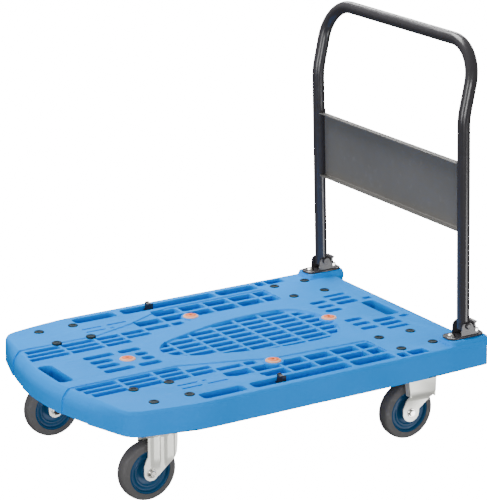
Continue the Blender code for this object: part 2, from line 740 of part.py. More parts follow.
def make_wheel(name, x, y):
    """A rubber tyre on a stepped plastic hub."""
    half = WHEEL_WIDTH / 2
    half_tyre = [(HUB_RADIUS + GAP, half), (0.054, half), (0.0605, half - 0.004)]
    half_tyre += [(WHEEL_RADIUS, half - 0.009)]
    tyre = half_tyre + [(radius, -height) for radius, height in reversed(half_tyre)]
    at = along_y(x, y, WHEEL_RADIUS)
    where, side_name = name
    turned_part(f"{where}_tyre_{side_name}", tyre, GREY_RUBBER, at, WHEEL_STEPS, closed=True)
    face = HUB_WIDTH / 2
    half_hub = [(0.0066, face), (0.014, face), (0.017, face - 0.008), (0.034, face - 0.010)]
    half_hub += [(0.038, half - 0.001), (HUB_RADIUS, half - 0.001)]
    hub = half_hub + [(radius, -height) for radius, height in reversed(half_hub)]
    turned_part(f"{where}_hub_{side_name}", hub, HUB_BLUE, at, WHEEL_STEPS, closed=True)


def make_axle_bolt(name, x, y):
    """The bolt through the fork's ears, with its hexagon nut."""
    reach = FORK_GAP / 2 + FORK_SHEET + GAP
    profile = [(0.0, reach + 0.006), (0.0085, reach + 0.006), (0.0095, reach + 0.001), (0.0095, reach)]
    profile += [(0.0060, reach), (0.0060, -reach), (0.0095, -reach), (0.0095, -reach - 0.007)]
    profile += [(0.0, -reach - 0.007)]
    at = along_y(x, y, WHEEL_RADIUS)
    if y < 0:
        at = at @ Matrix.Rotation(math.pi, 4, "X")
    turned_part(name, profile, ZINC, at, 12)


def plate_mesh(x, y):
    half = CASTER_PLATE / 2
    plan = rounded_rectangle(x - half, x + half, y - half, y + half, 0.010)
    return outline_mesh("caster plate", [plan], CASTER_PLATE_TOP - CASTER_SHEET, CASTER_PLATE_TOP)


def bolt_holes(x, y):
    half = BOLT_SPACING / 2
    places = [(x + dx, y + dy) for dx in (-half, half) for dy in (-half, half)]
    return rods_mesh("plate holes", 0.0045, CASTER_PLATE_TOP - 0.02, CASTER_PLATE_TOP + 0.01, places, 8)


def leg_section(y, crown, shoulder, joggle_top, joggle_bottom):
    """The fork seen from behind: a sheet folded over the wheel, stepped in towards the ears."""
    ear = FORK_GAP / 2
    sheet = FORK_SHEET
    foot = WHEEL_RADIUS - 0.030
    outer = [(ear + sheet, foot), (ear + sheet, joggle_bottom)]
    outer += [(shoulder, joggle_top), (shoulder, crown)]
    inner = [(shoulder - sheet, crown - sheet), (shoulder - sheet, joggle_top)]
    inner += [(ear, joggle_bottom), (ear, foot)]
    half = outer + [(-across, up) for across, up in reversed(outer)]
    outline = half + [(-across, up) for across, up in reversed(inner)] + inner
    return [(y + across, up) for across, up in outline]


def fork_solid(name, x_range, side_outline, section, y):
    """A fork where its section and its side view meet."""
    body = sideways_outline("fork section", section, *x_range)
    fork = add_part(name, body, ZINC)
    view = upright_outline("fork view", side_outline, y - 0.06, y + 0.06)
    add_boolean(fork, add_cutter(f"{name}_view", view), "INTERSECT")
    return fork


def make_rigid_caster(side_name, side):
    x = REAR_AXLE_X
    y = side * WHEEL_Y
    plate_low = CASTER_PLATE_TOP - CASTER_SHEET
    crown = plate_low + 0.001
    section = leg_section(y, crown, 0.044, 0.104, 0.090)
    outline = [(x - 0.055, crown + 0.01), (x - 0.052, 0.118), (x - 0.044, 0.090), (x - 0.020, 0.074)]
    outline += arc((x, WHEEL_RADIUS), 0.020, 160, 380, 9)
    outline += [(x + 0.010, 0.092), (x + 0.012, 0.118), (x + 0.018, crown + 0.01)]
    fork = fork_solid(f"rigid_fork_{side_name}", (x - 0.06, x + 0.03), outline, section, y)
    add_boolean(fork, add_cutter(f"rigid_plate_{side_name}", plate_mesh(REAR_CASTER_X, y)), "UNION")
    drill = add_cutter(f"rigid_drill_{side_name}", bolt_holes(REAR_CASTER_X, y))
    add_boolean(fork, drill, "DIFFERENCE")
    bore = rods_mesh("axle bore", 0.0065, -0.05, 0.05, [(0, 0)], 12)
    bore = add_cutter(f"rigid_bore_{side_name}", bore, along_y(x, y, WHEEL_RADIUS))
    add_boolean(fork, bore, "DIFFERENCE")
    make_wheel(("rear", side_name), x, y)
    make_axle_bolt(f"rear_axle_{side_name}", x, y)


def make_swivel_caster(side_name, side):
    x = FRONT_CASTER_X
    axle_x = x + FRONT_TRAIL
    y = side * WHEEL_Y
    mesh = plate_mesh(x, y)
    plate = add_part(f"caster_plate_{side_name}", mesh, ZINC)
    race_low = FORK_CROWN + GAP
    race = rods_mesh("race", 0.026, race_low, CASTER_PLATE_TOP - 0.002, [(x, y)], 20)
    add_boolean(plate, add_cutter(f"race_{side_name}", race), "UNION")
    add_boolean(plate, add_cutter(f"swivel_drill_{side_name}", bolt_holes(x, y)), "DIFFERENCE")
    bore = rods_mesh("kingpin bore", 0.0065, 0.12, 0.18, [(x, y)], 12)
    bore_cutter = add_cutter(f"kingpin_bore_{side_name}", bore)
    add_boolean(plate, bore_cutter, "DIFFERENCE")

    section = leg_section(y, FORK_CROWN, FORK_GAP / 2 + FORK_SHEET, 0.100, 0.090)
    outline = [(x - 0.026, 0.150), (x - 0.024, 0.096), (x - 0.020, 0.086), (axle_x - 0.017, 0.052)]
    outline += arc((axle_x, WHEEL_RADIUS), 0.0165, 225, 370, 6)
    outline += [(axle_x + 0.008, 0.096), (axle_x + 0.007, 0.150)]
    fork = fork_solid(f"swivel_fork_{side_name}", (x - 0.04, axle_x + 0.04), outline, section, y)
    add_boolean(fork, bore_cutter, "DIFFERENCE")
    bore = rods_mesh("axle bore", 0.0065, -0.05, 0.05, [(0, 0)], 12)
    bore = add_cutter(f"swivel_bore_{side_name}", bore, along_y(axle_x, y, WHEEL_RADIUS))
    add_boolean(fork, bore, "DIFFERENCE")

    low = FORK_CROWN - FORK_SHEET - GAP
    high = CASTER_PLATE_TOP - 0.001
    pin = [(0.0, high), (0.0060, high), (0.0060, low), (0.0100, low)]
    pin += [(0.0100, low - 0.005), (0.0, low - 0.005)]
    turned_part(f"kingpin_{side_name}", pin, ZINC, Matrix.Translation((x, y, 0)), 12)
    make_wheel(("front", side_name), axle_x, y)
    make_axle_bolt(f"front_axle_{side_name}", axle_x, y)


def make_caster_bolts():
    """Long bolts from the deck's top through its bosses and the caster plates."""
    foot = CASTER_PLATE_TOP - CASTER_SHEET - 0.010 - DECK_TOP
    profile = [(0.0, 0.0024), (0.0080, 0.0022), (0.0110, GAP)]
    profile += [(0.0040, GAP), (0.0040, foot), (0.0, foot)]
    for name, x, y in caster_bolt_places():
        turned_part(name, profile, DARK_PAINT, Matrix.Translation((x, y, DECK_TOP)), 8)


make_deck()
make_anti_slip_studs()
make_tube_clips()
make_handle_tube()
make_handle_panel()
make_tube_end_plugs()
make_handle_brackets()
make_bracket_bolts()
make_pivot_bolts()
make_lock_levers()
make_lock_lever_pins()
for caster_side_name, caster_side in SIDES:
    make_rigid_caster(caster_side_name, caster_side)
    make_swivel_caster(caster_side_name, caster_side)
make_caster_bolts()
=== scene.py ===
import math

import bpy
import bmesh
import numpy as np
from mathutils import Matrix, Vector


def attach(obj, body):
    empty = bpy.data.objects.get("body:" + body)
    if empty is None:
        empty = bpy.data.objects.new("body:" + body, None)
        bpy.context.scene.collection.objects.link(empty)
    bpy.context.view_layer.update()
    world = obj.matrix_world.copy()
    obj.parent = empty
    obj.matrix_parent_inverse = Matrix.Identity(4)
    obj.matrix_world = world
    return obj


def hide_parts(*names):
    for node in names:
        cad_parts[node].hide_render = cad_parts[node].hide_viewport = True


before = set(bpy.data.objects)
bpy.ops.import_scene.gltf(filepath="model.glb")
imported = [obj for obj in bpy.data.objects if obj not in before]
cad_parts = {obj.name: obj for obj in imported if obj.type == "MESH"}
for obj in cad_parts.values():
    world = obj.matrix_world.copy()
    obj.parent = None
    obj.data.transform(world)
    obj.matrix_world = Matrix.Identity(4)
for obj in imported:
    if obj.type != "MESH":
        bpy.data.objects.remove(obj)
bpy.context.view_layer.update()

# Metres, +Z up, +X away from the handle, +Y the cart's left, the floor at Z = 0.

# Deck
DECK_LENGTH = 0.920
DECK_WIDTH = 0.610
DECK_TOP = 0.222
DECK_RIM = 0.169
ABOVE_DECK = DECK_TOP + 0.012
BELOW_DECK = DECK_RIM - 0.010
DECK_PLATE = 0.006
DECK_BOW = 0.0245
BOW_HALF_WIDTH = 0.172
CORNER_SLOPE = 0.32
RIB_FOOT = 0.184
SKIRT_WALL = 0.006
LEAF_DEPTH = 0.0045
LEAF_WALL = 0.0030
BAND_DEPTH = 0.0025
BAND_INNER = 0.087
BAND_OUTER = 0.166
BAND_NOSE = 0.400
RIB_WIDTH = 0.007
SLOT_FLARE = 0.0014
PAD_HEIGHT = 0.010
PAD_X = (-0.4595, -0.3665)
PAD_Y = (0.2475, 0.3005)
CROSS_RIBS = (0.331, 0.248, 0.186, 0.126, 0.061, -0.004, -0.069, -0.134, -0.200)
BAND_REAR = -0.235
BAND_FRONT = 0.425
BAND_ROWS = (
    (0.091, 0.110, 0.186, BAND_FRONT),
    (0.117, 0.132, 0.126, 0.420),
    (0.139, 0.157, 0.030, 0.413),
    (0.171, 0.201, BAND_REAR, 0.126),
    (0.211, 0.241, BAND_REAR, 0.061),
)
LEAF_ROWS = (0.014, 0.042, 0.070, 0.098)
LEAF_SLOT_WIDTH = 0.0185
STUD_SIDE_Y = 0.168
STUDS = (
    ("front", 0.252, 0.0),
    ("rear", -0.252, 0.0),
    ("left", 0.000, STUD_SIDE_Y),
    ("right", 0.000, -STUD_SIDE_Y),
)
STUD_SEAT_RADIUS = 0.022
CHANNEL = (0.255, 0.286)
CHANNEL_SPANS = ((0.133, 0.235), (-0.122, 0.116), (-0.232, -0.130))
REAR_CHANNEL = (0.268, 0.293)
REAR_CHANNEL_SPANS = ((-0.262, -0.240), (-0.311, -0.267))
FRONT_SLOTS = (
    (0.0455, 0.261, 0.330),
    (0.0455, 0.197, 0.248),
    (0.0145, 0.280, 0.330),
    (0.0145, 0.197, 0.224),
)
REAR_SLOT_ROWS = (0.038, 0.069, 0.100)
REAR_SLOT_ROWS_BEHIND = ((0.071, 0.009), (0.099, 0.008), (0.125, 0.006))
DRAIN_SLOTS = (
    (0.198, 0.245, 0.213),
    (0.137, 0.185, 0.213),
    (0.198, 0.245, 0.193),
    (0.177, 0.187, 0.193),
)
FRONT_HAND_SLOT = (0.405, 0.437, -0.054, 0.054)
REAR_HAND_SLOT = (-0.405, -0.371, -0.052, 0.052)
MERGE_DISTANCE = 0.0022
CLIP_X = 0.046

# Casters
WHEEL_RADIUS = 0.0625
WHEEL_Y = 0.2070
FRONT_CASTER_X = 0.290
REAR_CASTER_X = -0.310
FRONT_AXLE_X = 0.327
REAR_AXLE_X = -0.312
CASTER_PLATE = 0.105
CASTER_PLATE_TOP = 0.1685
CASTER_SHEET = 0.004
BOLT_SPACING = 0.082
FORK_SHEET = 0.003
FORK_GAP = 0.040
FORK_CROWN = 0.140
RIGID_SHEET = 0.0027
SWIVEL_SHEET = 0.0026
EAR_Z = 0.040

# Handle
HANDLE_X = -0.412
HANDLE_HALF_WIDTH = 0.2715
TUBE_RADIUS = 0.0136
PIVOT_Z = 0.2575
LOWER_LEAN = math.radians(1.7)
UPPER_LEAN = math.radians(-11.6)
KINK_Z = 0.708
HANDLE_TOP_Z = 0.859
KINK_RADIUS = 0.080
CORNER_RADIUS = 0.082
TUBE_BELOW_PIVOT = 0.009
PANEL_LOW = 0.462
PANEL_HIGH = 0.610
PANEL_DEPTH = 0.017
PANEL_BEND = 0.004
PANEL_SHEET = 0.0016
BRACKET_LENGTH = 0.092
BRACKET_WIDTH = 0.040
BRACKET_SHEET = 0.004
CHEEK_SHEET = 0.003
CHEEK_GAP = 0.0284
BRACKET_BOLT_X = 0.031

# Camera
CAMERA_PLACE = (2.49333, 4.06009, 1.88943)
CAMERA_AZIMUTH = math.radians(148.12)
CAMERA_ELEVATION = math.radians(17.165)
CAMERA_LENS = 170.24

SIDES = (("left", 1), ("right", -1))
CROSSWISE = Matrix(((0, 0, 1, 0), (1, 0, 0, 0), (0, 1, 0, 0), (0, 0, 0, 1)))


# ---- materials

def new_material(name, color, roughness, metallic=0.0, specular=0.5):
    """A material with a Principled BSDF; gives the node tree and the shader too."""
    made = bpy.data.materials.new(name)
    made.use_nodes = True
    tree = made.node_tree
    shader = tree.nodes["Principled BSDF"]
    shader.inputs["Base Color"].default_value = (*color, 1.0)
    shader.inputs["Roughness"].default_value = roughness
    shader.inputs["Metallic"].default_value = metallic
    shader.inputs["Specular IOR Level"].default_value = specular
    return made, tree, shader


def noise(tree, scale, detail, stretch=(1, 1, 1)):
    """A noise pattern over the piece's own coordinates, stretched along each axis."""
    place = tree.nodes.new("ShaderNodeTexCoord")
    mapping = tree.nodes.new("ShaderNodeMapping")
    mapping.inputs["Scale"].default_value = stretch
    pattern = tree.nodes.new("ShaderNodeTexNoise")
    pattern.inputs["Scale"].default_value = scale
    pattern.inputs["Detail"].default_value = detail
    tree.links.new(place.outputs["Object"], mapping.inputs["Vector"])
    tree.links.new(mapping.outputs["Vector"], pattern.inputs["Vector"])
    return pattern.outputs["Fac"]


def spread(tree, value, low, high, out_low, out_high):
    """The value from low to high, moved to out_low to out_high."""
    node = tree.nodes.new("ShaderNodeMapRange")
    node.inputs["From Min"].default_value = low
    node.inputs["From Max"].default_value = high
    node.inputs["To Min"].default_value = out_low
    node.inputs["To Max"].default_value = out_high
    tree.links.new(value, node.inputs["Value"])
    return node.outputs["Result"]


def mix_colors(tree, share, first, second):
    """A mix of two colours, each a plain value or another node's output."""
    node = tree.nodes.new("ShaderNodeMix")
    node.data_type = "RGBA"
    tree.links.new(share, node.inputs["Factor"])
    for socket, value in ((node.inputs[6], first), (node.inputs[7], second)):
        if isinstance(value, tuple):
            socket.default_value = (*value, 1.0)
        else:
            tree.links.new(value, socket)
    return node.outputs[2]


def bump(tree, shader, height, distance, strength):
    """Fine relief on the surface."""
    node = tree.nodes.new("ShaderNodeBump")
    node.inputs["Distance"].default_value = distance
    node.inputs["Strength"].default_value = strength
    tree.links.new(height, node.inputs["Height"])
    tree.links.new(node.outputs["Normal"], shader.inputs["Normal"])


def worn_surface(name, color, worn, roughness, *, grain, scuffs, metallic=0.0, specular=0.5,
                 stretch=(1, 1, 1)):
    """A surface with slow changes of tone, a grain (its scale and depth), and scuffs in a worn colour."""
    made, tree, shader = new_material(name, color, roughness, metallic, specular)
    tone = spread(tree, noise(tree, 7, 3), 0.3, 0.7, 0.0, 1.0)
    darker = tuple(c * 0.90 for c in color)
    base = mix_colors(tree, tone, darker, color)
    marks = spread(tree, noise(tree, 60, 6, stretch), 0.60, 0.72, 0.0, scuffs)
    tree.links.new(mix_colors(tree, marks, base, worn), shader.inputs["Base Color"])
    gloss = spread(tree, noise(tree, 35, 4, stretch), 0.3, 0.7, roughness * 0.85, roughness * 1.15)
    tree.links.new(gloss, shader.inputs["Roughness"])
    bump(tree, shader, noise(tree, grain[0], 2), grain[1], 0.6)
    return made


def deck_plastic():
    return worn_surface("deck_plastic", (0.0, 0.245, 0.76), (0.0, 0.30, 0.82), 0.45, specular=0.02,
                        grain=(700, 0.00025), scuffs=0.20, stretch=(1, 3, 1))


def dark_paint():
    return worn_surface("dark_paint", (0.036, 0.034, 0.038), (0.07, 0.07, 0.072), 0.24, specular=0.4,
                        grain=(500, 0.0001), scuffs=0.25)


def panel_paint():
    return worn_surface("panel_paint", (0.122, 0.118, 0.112), (0.16, 0.156, 0.15), 0.45, specular=0.25,
                        grain=(450, 0.00015), scuffs=0.25)


def zinc():
    return worn_surface("zinc", (0.97, 0.975, 0.90), (0.66, 0.66, 0.62), 0.36, metallic=0.45,
                        grain=(300, 0.0001), scuffs=0.4, stretch=(1, 1, 0.2))


def chrome():
    return worn_surface("chrome", (0.72, 0.70, 0.66), (0.5, 0.48, 0.44), 0.16, metallic=1.0,
                        grain=(250, 0.00005), scuffs=0.4)


def tyre_rubber():
    return worn_surface("tyre_rubber", (0.088, 0.086, 0.088), (0.15, 0.145, 0.142), 0.62, specular=0.3,
                        grain=(420, 0.0003), scuffs=0.45)


def hub_plastic():
    return worn_surface("hub_plastic", (0.004, 0.050, 0.125), (0.02, 0.09, 0.19), 0.34, specular=0.2,
                        grain=(500, 0.0001), scuffs=0.2)


# Black plastic for the clips; the same black also serves as painted shade on the floor of each stud's centre
# hole.
def black_plastic():
    return worn_surface("black_plastic", (0.010, 0.010, 0.012), (0.03, 0.03, 0.032), 0.45, specular=0.4,
                        grain=(600, 0.0002), scuffs=0.3)


def stud_rubber():
    return worn_surface("stud_rubber", (0.80, 0.15, 0.03), (0.78, 0.32, 0.17), 0.6, specular=0.3,
                        grain=(500, 0.0002), scuffs=0.4)


def stud_ring_rubber():
    return worn_surface("stud_ring_rubber", (0.74, 0.35, 0.22), (0.76, 0.46, 0.34), 0.6, specular=0.3,
                        grain=(500, 0.0002), scuffs=0.3)


def bolt_paint():
    return worn_surface("bolt_paint", (0.010, 0.022, 0.030), (0.03, 0.05, 0.06), 0.55, specular=0.10,
                        grain=(300, 0.0001), scuffs=0.4)


def floor_surface():
    """A pale floor: mostly even, with a trace of mottling."""
    made, tree, shader = new_material("floor", (0.80, 0.80, 0.80), 0.9, specular=0.0)
    mottle = spread(tree, noise(tree, 2, 2), 0.3, 0.7, 0.0, 1.0)
    greys = mix_colors(tree, mottle, (0.79, 0.79, 0.79), (0.81, 0.81, 0.81))
    tree.links.new(greys, shader.inputs["Base Color"])
    shader.inputs["Emission Color"].default_value = (1.0, 1.0, 1.0, 1.0)
    shader.inputs["Emission Strength"].default_value = 16.0
    return made


DECK_PLASTIC = deck_plastic()
DARK_PAINT = dark_paint()
PANEL_PAINT = panel_paint()
ZINC = zinc()
CHROME = chrome()
TYRE_RUBBER = tyre_rubber()
HUB_PLASTIC = hub_plastic()
BLACK_PLASTIC_AND_HOLE_SHADE = black_plastic()
STUD_RUBBER = stud_rubber()
STUD_RING_RUBBER = stud_ring_rubber()
BOLT_PAINT = bolt_paint()


# ---- meshes

def mesh_of(points, faces):
    mesh = bpy.data.meshes.new("mesh")
    mesh.from_pydata([tuple(p) for p in points], [], faces)
    mesh.validate()
    return mesh


def placed(name, data):
    """A new object in the scene."""
    made = bpy.data.objects.new(name, data)
    bpy.context.scene.collection.objects.link(made)
    return made


def face_outwards(mesh, weld=0.0):
    """Turns the faces of a closed mesh outwards, after welding points that lie within a distance."""
    shape = bmesh.new()
    shape.from_mesh(mesh)
    if weld:
        bmesh.ops.remove_doubles(shape, verts=shape.verts, dist=weld)
    bmesh.ops.recalc_face_normals(shape, faces=shape.faces)
    shape.to_mesh(mesh)
    shape.free()
    return mesh


def anticlockwise(outline):
    area = sum(a[0] * b[1] - b[0] * a[1] for a, b in zip(outline, outline[1:] + outline[:1]))
    return outline if area > 0 else outline[::-1]


def moved_in(outline, distance):
    """An anticlockwise outline moved inwards, by one distance or one for each point."""
    points = np.array(outline, float)
    before = points - np.roll(points, 1, 0)
    after = np.roll(points, -1, 0) - points
    normals = []
    for edge in (before, after):
        length = np.linalg.norm(edge, axis=1)[:, None]
        normals.append(np.stack([-edge[:, 1], edge[:, 0]], 1) / length)
    middle = normals[0] + normals[1]
    middle /= (middle * normals[0]).sum(1)[:, None]
    distances = np.broadcast_to(np.asarray(distance, float), (len(points),))
    return points + middle * distances[:, None]


def loft(rings):
    """A closed solid through rings of points, from the lowest to the highest."""
    count = len(rings[0])
    points = [tuple(p) for ring in rings for p in ring]
    faces = []
    for k in range(len(rings) - 1):
        for i in range(count):
            j = (i + 1) % count
            faces.append((k * count + i, k * count + j, (k + 1) * count + j, (k + 1) * count + i))
    faces.append(tuple(reversed(range(count))))
    faces.append(tuple(range((len(rings) - 1) * count, len(rings) * count)))
    return mesh_of(points, faces)


def at_height(outline, z):
    """The outline's points at one height."""
    return [(p[0], p[1], z) for p in outline]


def prism(outline, low, high):
    """An upright solid of one outline."""
    outline = anticlockwise(list(outline))
    return loft([at_height(outline, low), at_height(outline, high)])


def joined(meshes):
    """One mesh of several, which are removed."""
    shape = bmesh.new()
    for mesh in meshes:
        shape.from_mesh(mesh)
        bpy.data.meshes.remove(mesh)
    made = bpy.data.meshes.new("joined")
    shape.to_mesh(made)
    shape.free()
    return made


def standing(mesh):
    """A prism drawn in X and Z, whose height runs along -Y, stood up."""
    mesh.transform(Matrix.Rotation(math.pi / 2, 4, "X"))
    return mesh


def arc(centre, radius, start, end, count):
    """Points on an arc, with the angles in degrees."""
    made = []
    for i in range(count):
        angle = math.radians(start + (end - start) * i / (count - 1))
        made.append((centre[0] + radius * math.cos(angle), centre[1] + radius * math.sin(angle)))
    return made


def rectangle(x0, x1, y0, y1):
    return [(x0, y0), (x1, y0), (x1, y1), (x0, y1)]


def mirrored(half):
    """A whole outline of its half with Y above zero."""
    return anticlockwise(half + [(x, -y) for x, y in reversed(half) if abs(y) > 1e-9])


def rounded(polygon, corner, extra=0.0):
    """A convex polygon with round corners, moved outwards by extra."""
    centres = moved_in(polygon, corner)
    made = []
    steps = 5
    reach = corner + extra
    count = len(polygon)
    for i in range(count):
        a, b, c = (Vector(polygon[(i + k) % count]) for k in (-1, 0, 1))
        first = math.atan2(-(b - a).x, (b - a).y)
        last = math.atan2(-(c - b).x, (c - b).y)
        while last < first:
            last += math.tau
        for k in range(steps):
            angle = first + (last - first) * k / (steps - 1)
            made.append((centres[i][0] + reach * math.cos(angle), centres[i][1] + reach * math.sin(angle)))
    return made


def flared_slot(polygon, corner, low, top, flare):
    """A cutter for a slot: straight walls, with a round edge where it meets the top face."""
    polygon = anticlockwise(list(polygon))
    rings = [at_height(rounded(polygon, corner), low)]
    for k in range(4):
        angle = math.radians(30 * k)
        extra = flare * (1 - math.cos(angle))
        rings.append(at_height(rounded(polygon, corner, extra), top - flare + flare * math.sin(angle)))
    rings.append(at_height(rounded(polygon, corner, flare), top + 0.012))
    return loft(rings)


def edged_block(polygon, corner, low, top, edge, flare=0.0):
    """A block with round upright corners and a round upper edge; its walls may flare downwards."""
    polygon = anticlockwise(list(polygon))
    rings = [at_height(rounded(polygon, corner, flare), low)]
    if flare:
        rings.insert(0, at_height(rounded(polygon, corner, flare), low - 0.010))
        rings.append(at_height(rounded(polygon, corner, flare * 0.45), low + 0.0025))
    for k in range(5):
        angle = math.radians(22.5 * k)
        extra = edge * (math.cos(angle) - 1)
        rings.append(at_height(rounded(polygon, corner, extra), top - edge + edge * math.sin(angle)))
    return loft(rings)


def clipped(polygon, frame_polygon):
    """The part of a convex polygon inside another, both anticlockwise."""
    made = [Vector(p) for p in polygon]
    for start, end in zip(frame_polygon, frame_polygon[1:] + frame_polygon[:1]):
        start, end = Vector(start), Vector(end)
        side = Vector((-(end - start).y, (end - start).x))
        kept = []
        for a, b in zip(made, made[1:] + made[:1]):
            da, db = (a - start).dot(side), (b - start).dot(side)
            if da >= 0:
                kept.append(a)
            if da * db < 0:
                kept.append(a + (b - a) * (da / (da - db)))
        made = kept
        if len(made) < 3:
            return []
    tidy = []
    for p in made:
        if not tidy or (p - tidy[-1]).length > MERGE_DISTANCE:
            tidy.append(p)
    if len(tidy) > 1 and (tidy[0] - tidy[-1]).length < MERGE_DISTANCE:
        tidy.pop()
    return [(p.x, p.y) for p in tidy] if len(tidy) >= 3 else []


def area_of(outline):
    pairs = zip(outline, outline[1:] + outline[:1])
    return abs(sum(a[0] * b[1] - b[0] * a[1] for a, b in pairs)) / 2


def turned(profile, steps=64):
    """A closed profile of (radius, height) points, anticlockwise with +Z up, turned about Z."""
    points = []
    faces = []
    count = len(profile)
    for k in range(steps):
        angle = math.tau * k / steps
        points += [(r * math.cos(angle), r * math.sin(angle), z) for r, z in profile]
    for k in range(steps):
        after = (k + 1) % steps
        for i in range(count):
            j = (i + 1) % count
            faces.append((k * count + i, after * count + i, after * count + j, k * count + j))
    return face_outwards(mesh_of(points, faces), 0.000005)


def along_y(x, y, z):
    """Turns a piece so that its own +Z points along world +Y."""
    return Matrix.Translation((x, y, z)) @ Matrix.Rotation(-math.pi / 2, 4, "X")


def piece(name, mesh, material, body, *nodes, sharp=35.0, matrix=None):
    """Shows a mesh as a piece of a body, in place of CAD nodes where they are named."""
    if matrix is not None:
        mesh.transform(matrix)
    made = placed(name, mesh)
    mesh.materials.clear()
    mesh.materials.append(material)
    mesh.shade_smooth()
    mesh.set_sharp_from_angle(angle=math.radians(sharp))
    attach(made, body)
    if nodes:
        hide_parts(*nodes)
    return made


def combined(mesh, other, operation):
    """The mesh after an exact Boolean with another; both inputs are removed."""
    holders = [placed("holder", m) for m in (mesh, other)]
    modifier = holders[0].modifiers.new("cut", "BOOLEAN")
    modifier.solver = "EXACT"
    modifier.operation = operation
    modifier.object = holders[1]
    graph = bpy.context.evaluated_depsgraph_get()
    made = bpy.data.meshes.new_from_object(holders[0].evaluated_get(graph))
    for holder, m in zip(holders, (mesh, other)):
        bpy.data.objects.remove(holder)
        bpy.data.meshes.remove(m)
    return made


# ---- deck

def front_edge(y):
    """How far forward the front edge is: bowed in the middle and straight towards each corner."""
    straight = max(abs(y) - BOW_HALF_WIDTH, 0.0)
    bowed = min(abs(y), BOW_HALF_WIDTH)
    return DECK_LENGTH / 2 - DECK_BOW * (bowed / BOW_HALF_WIDTH) ** 2 - CORNER_SLOPE * straight


def deck_outline():
    """The deck from above: recessed rear edge, straight sides, tapered and bowed front."""
    half_length = DECK_LENGTH / 2
    half_width = DECK_WIDTH / 2
    half = [(-half_length + 0.025, 0.0), (-half_length + 0.025, 0.236)]
    half += [(-half_length + 0.012, 0.2405), (-half_length + 0.003, 0.2455), (-half_length, 0.252)]
    half += arc((-half_length + 0.012, half_width - 0.012), 0.012, 180, 90, 8)
    along_side = (-0.3010, -0.3000, -0.2, -0.0955, -0.0945, 0.0, 0.0945, 0.0955, 0.2, 0.230)
    half += [(x, half_width) for x in along_side]
    half += [(0.2500, 0.3043), (0.2620, 0.3034), (0.2630, 0.3033)]
    half += [(0.300, 0.2980), (0.330, 0.2928), (0.355, 0.2880)]
    start = Vector((0.372, 0.2842))
    bend = Vector((0.4005, 0.2780))
    end = Vector((0.4085, 0.2560))
    for i in range(9):
        t = i / 8
        point = start * (1 - t) ** 2 + bend * 2 * t * (1 - t) + end * t * t
        half.append((point.x, point.y))
    for y in (0.226, 0.198, 0.172, 0.150, 0.129, 0.107, 0.086, 0.064, 0.043, 0.021, 0.0):
        half.append((front_edge(y), y))
    return mirrored(half)


def smooth_step(value, low, high):
    """0 up to low, 1 from high on, and a smooth rise between them."""
    t = min(max((value - low) / (high - low), 0.0), 1.0)
    return t * t * (3 - 2 * t)


def rim_step(x, y):
    """How much deeper the sides hang between the casters, in shallow steps."""
    if abs(y) < 0.29 or not -0.3005 < x < 0.2625:
        return 0.0
    return 0.0026 if abs(x) > 0.095 else 0.0020


def deck_solid(shrink):
    """The whole deck without its openings, with a sloped front edge; shrink moves its faces in."""
    outline = deck_outline()
    front = np.array([smooth_step(x, 0.405, 0.440) for x, _ in outline])
    top = DECK_TOP - shrink
    levels = [(DECK_RIM - shrink, 0.0, 0.0), (top - 0.030, 0.0003, 0.0004), (top - 0.021, 0.0005, 0.0014)]
    levels += [(top - 0.0145, 0.0007, 0.0042), (top - 0.0085, 0.0009, 0.0082)]
    levels += [(top - 0.0062, 0.0012, 0.0102), (top - 0.0048, 0.0019, 0.0117)]
    levels += [(top - 0.0018, 0.0033, 0.0150), (top - 0.0005, 0.0042, 0.0170), (top, 0.0052, 0.0190)]
    rings = []
    for z, side_inset, front_inset in levels:
        inset = side_inset + (front_inset - side_inset) * front + shrink
        rings.append(at_height(moved_in(outline, inset), z))
    rings[0] = [(x, y, z - rim_step(x, y)) for x, y, z in rings[0]]
    return loft(rings)


def leaf_outline():
    """The pointed leaf-shaped grid in the middle of the deck, with round shoulders."""
    half = [(-0.252, 0.006), (-0.246, 0.045), (-0.222, 0.090), (-0.190, 0.108), (-0.120, 0.110)]
    half += [(-0.060, 0.106), (0.005, 0.094), (0.070, 0.074)]
    half += [(0.135, 0.052), (0.160, 0.030), (0.170, 0.006)]
    return mirrored(half)


def softened(outline, passes=2):
    """Chaikin's corner cutting, which makes a smooth outline of a coarse one."""
    for _ in range(passes):
        made = []
        for a, b in zip(outline, outline[1:] + outline[:1]):
            made.append((a[0] * 0.75 + b[0] * 0.25, a[1] * 0.75 + b[1] * 0.25))
            made.append((a[0] * 0.25 + b[0] * 0.75, a[1] * 0.25 + b[1] * 0.75))
        outline = made
    return outline


def band_outline(side, inset, front):
    """The long grid between the leaf and a side edge, stepping outwards towards the rear."""
    inner = [(front, BAND_INNER + inset), (0.190, BAND_INNER + inset), (0.030, 0.137 + inset)]
    inner += [(0.0, 0.152 + inset), (BAND_REAR + inset, 0.164 + inset)]
    outer = [(BAND_REAR + inset, 0.246 - inset), (0.020, 0.246 - inset), (0.060, 0.232 - inset)]
    outer += [(0.140, 0.194 - inset), (0.235, BAND_OUTER - inset), (front, BAND_OUTER - inset)]
    return anticlockwise([(x, y * side) for x, y in inner + outer])


def spans_between_ribs(low, high):
    """The clear stretches of X between the cross ribs, from low to high."""
    half_rib = RIB_WIDTH / 2
    edges = [high] + [x for x in CROSS_RIBS if low + RIB_WIDTH < x < high - RIB_WIDTH] + [low]
    made = []
    for front, rear in zip(edges, edges[1:]):
        x1 = front if front == high else front - half_rib
        x0 = rear if rear == low else rear + half_rib
        made.append((x0, x1))
    return made


def band_slots():
    """The cells of both side bands."""
    made = []
    for inner, outer, rear, front in BAND_ROWS:
        for x0, x1 in spans_between_ribs(rear, front):
            made.append(rectangle(x0, x1, inner, outer))
            made.append(rectangle(x0, x1, -outer, -inner))
    return made


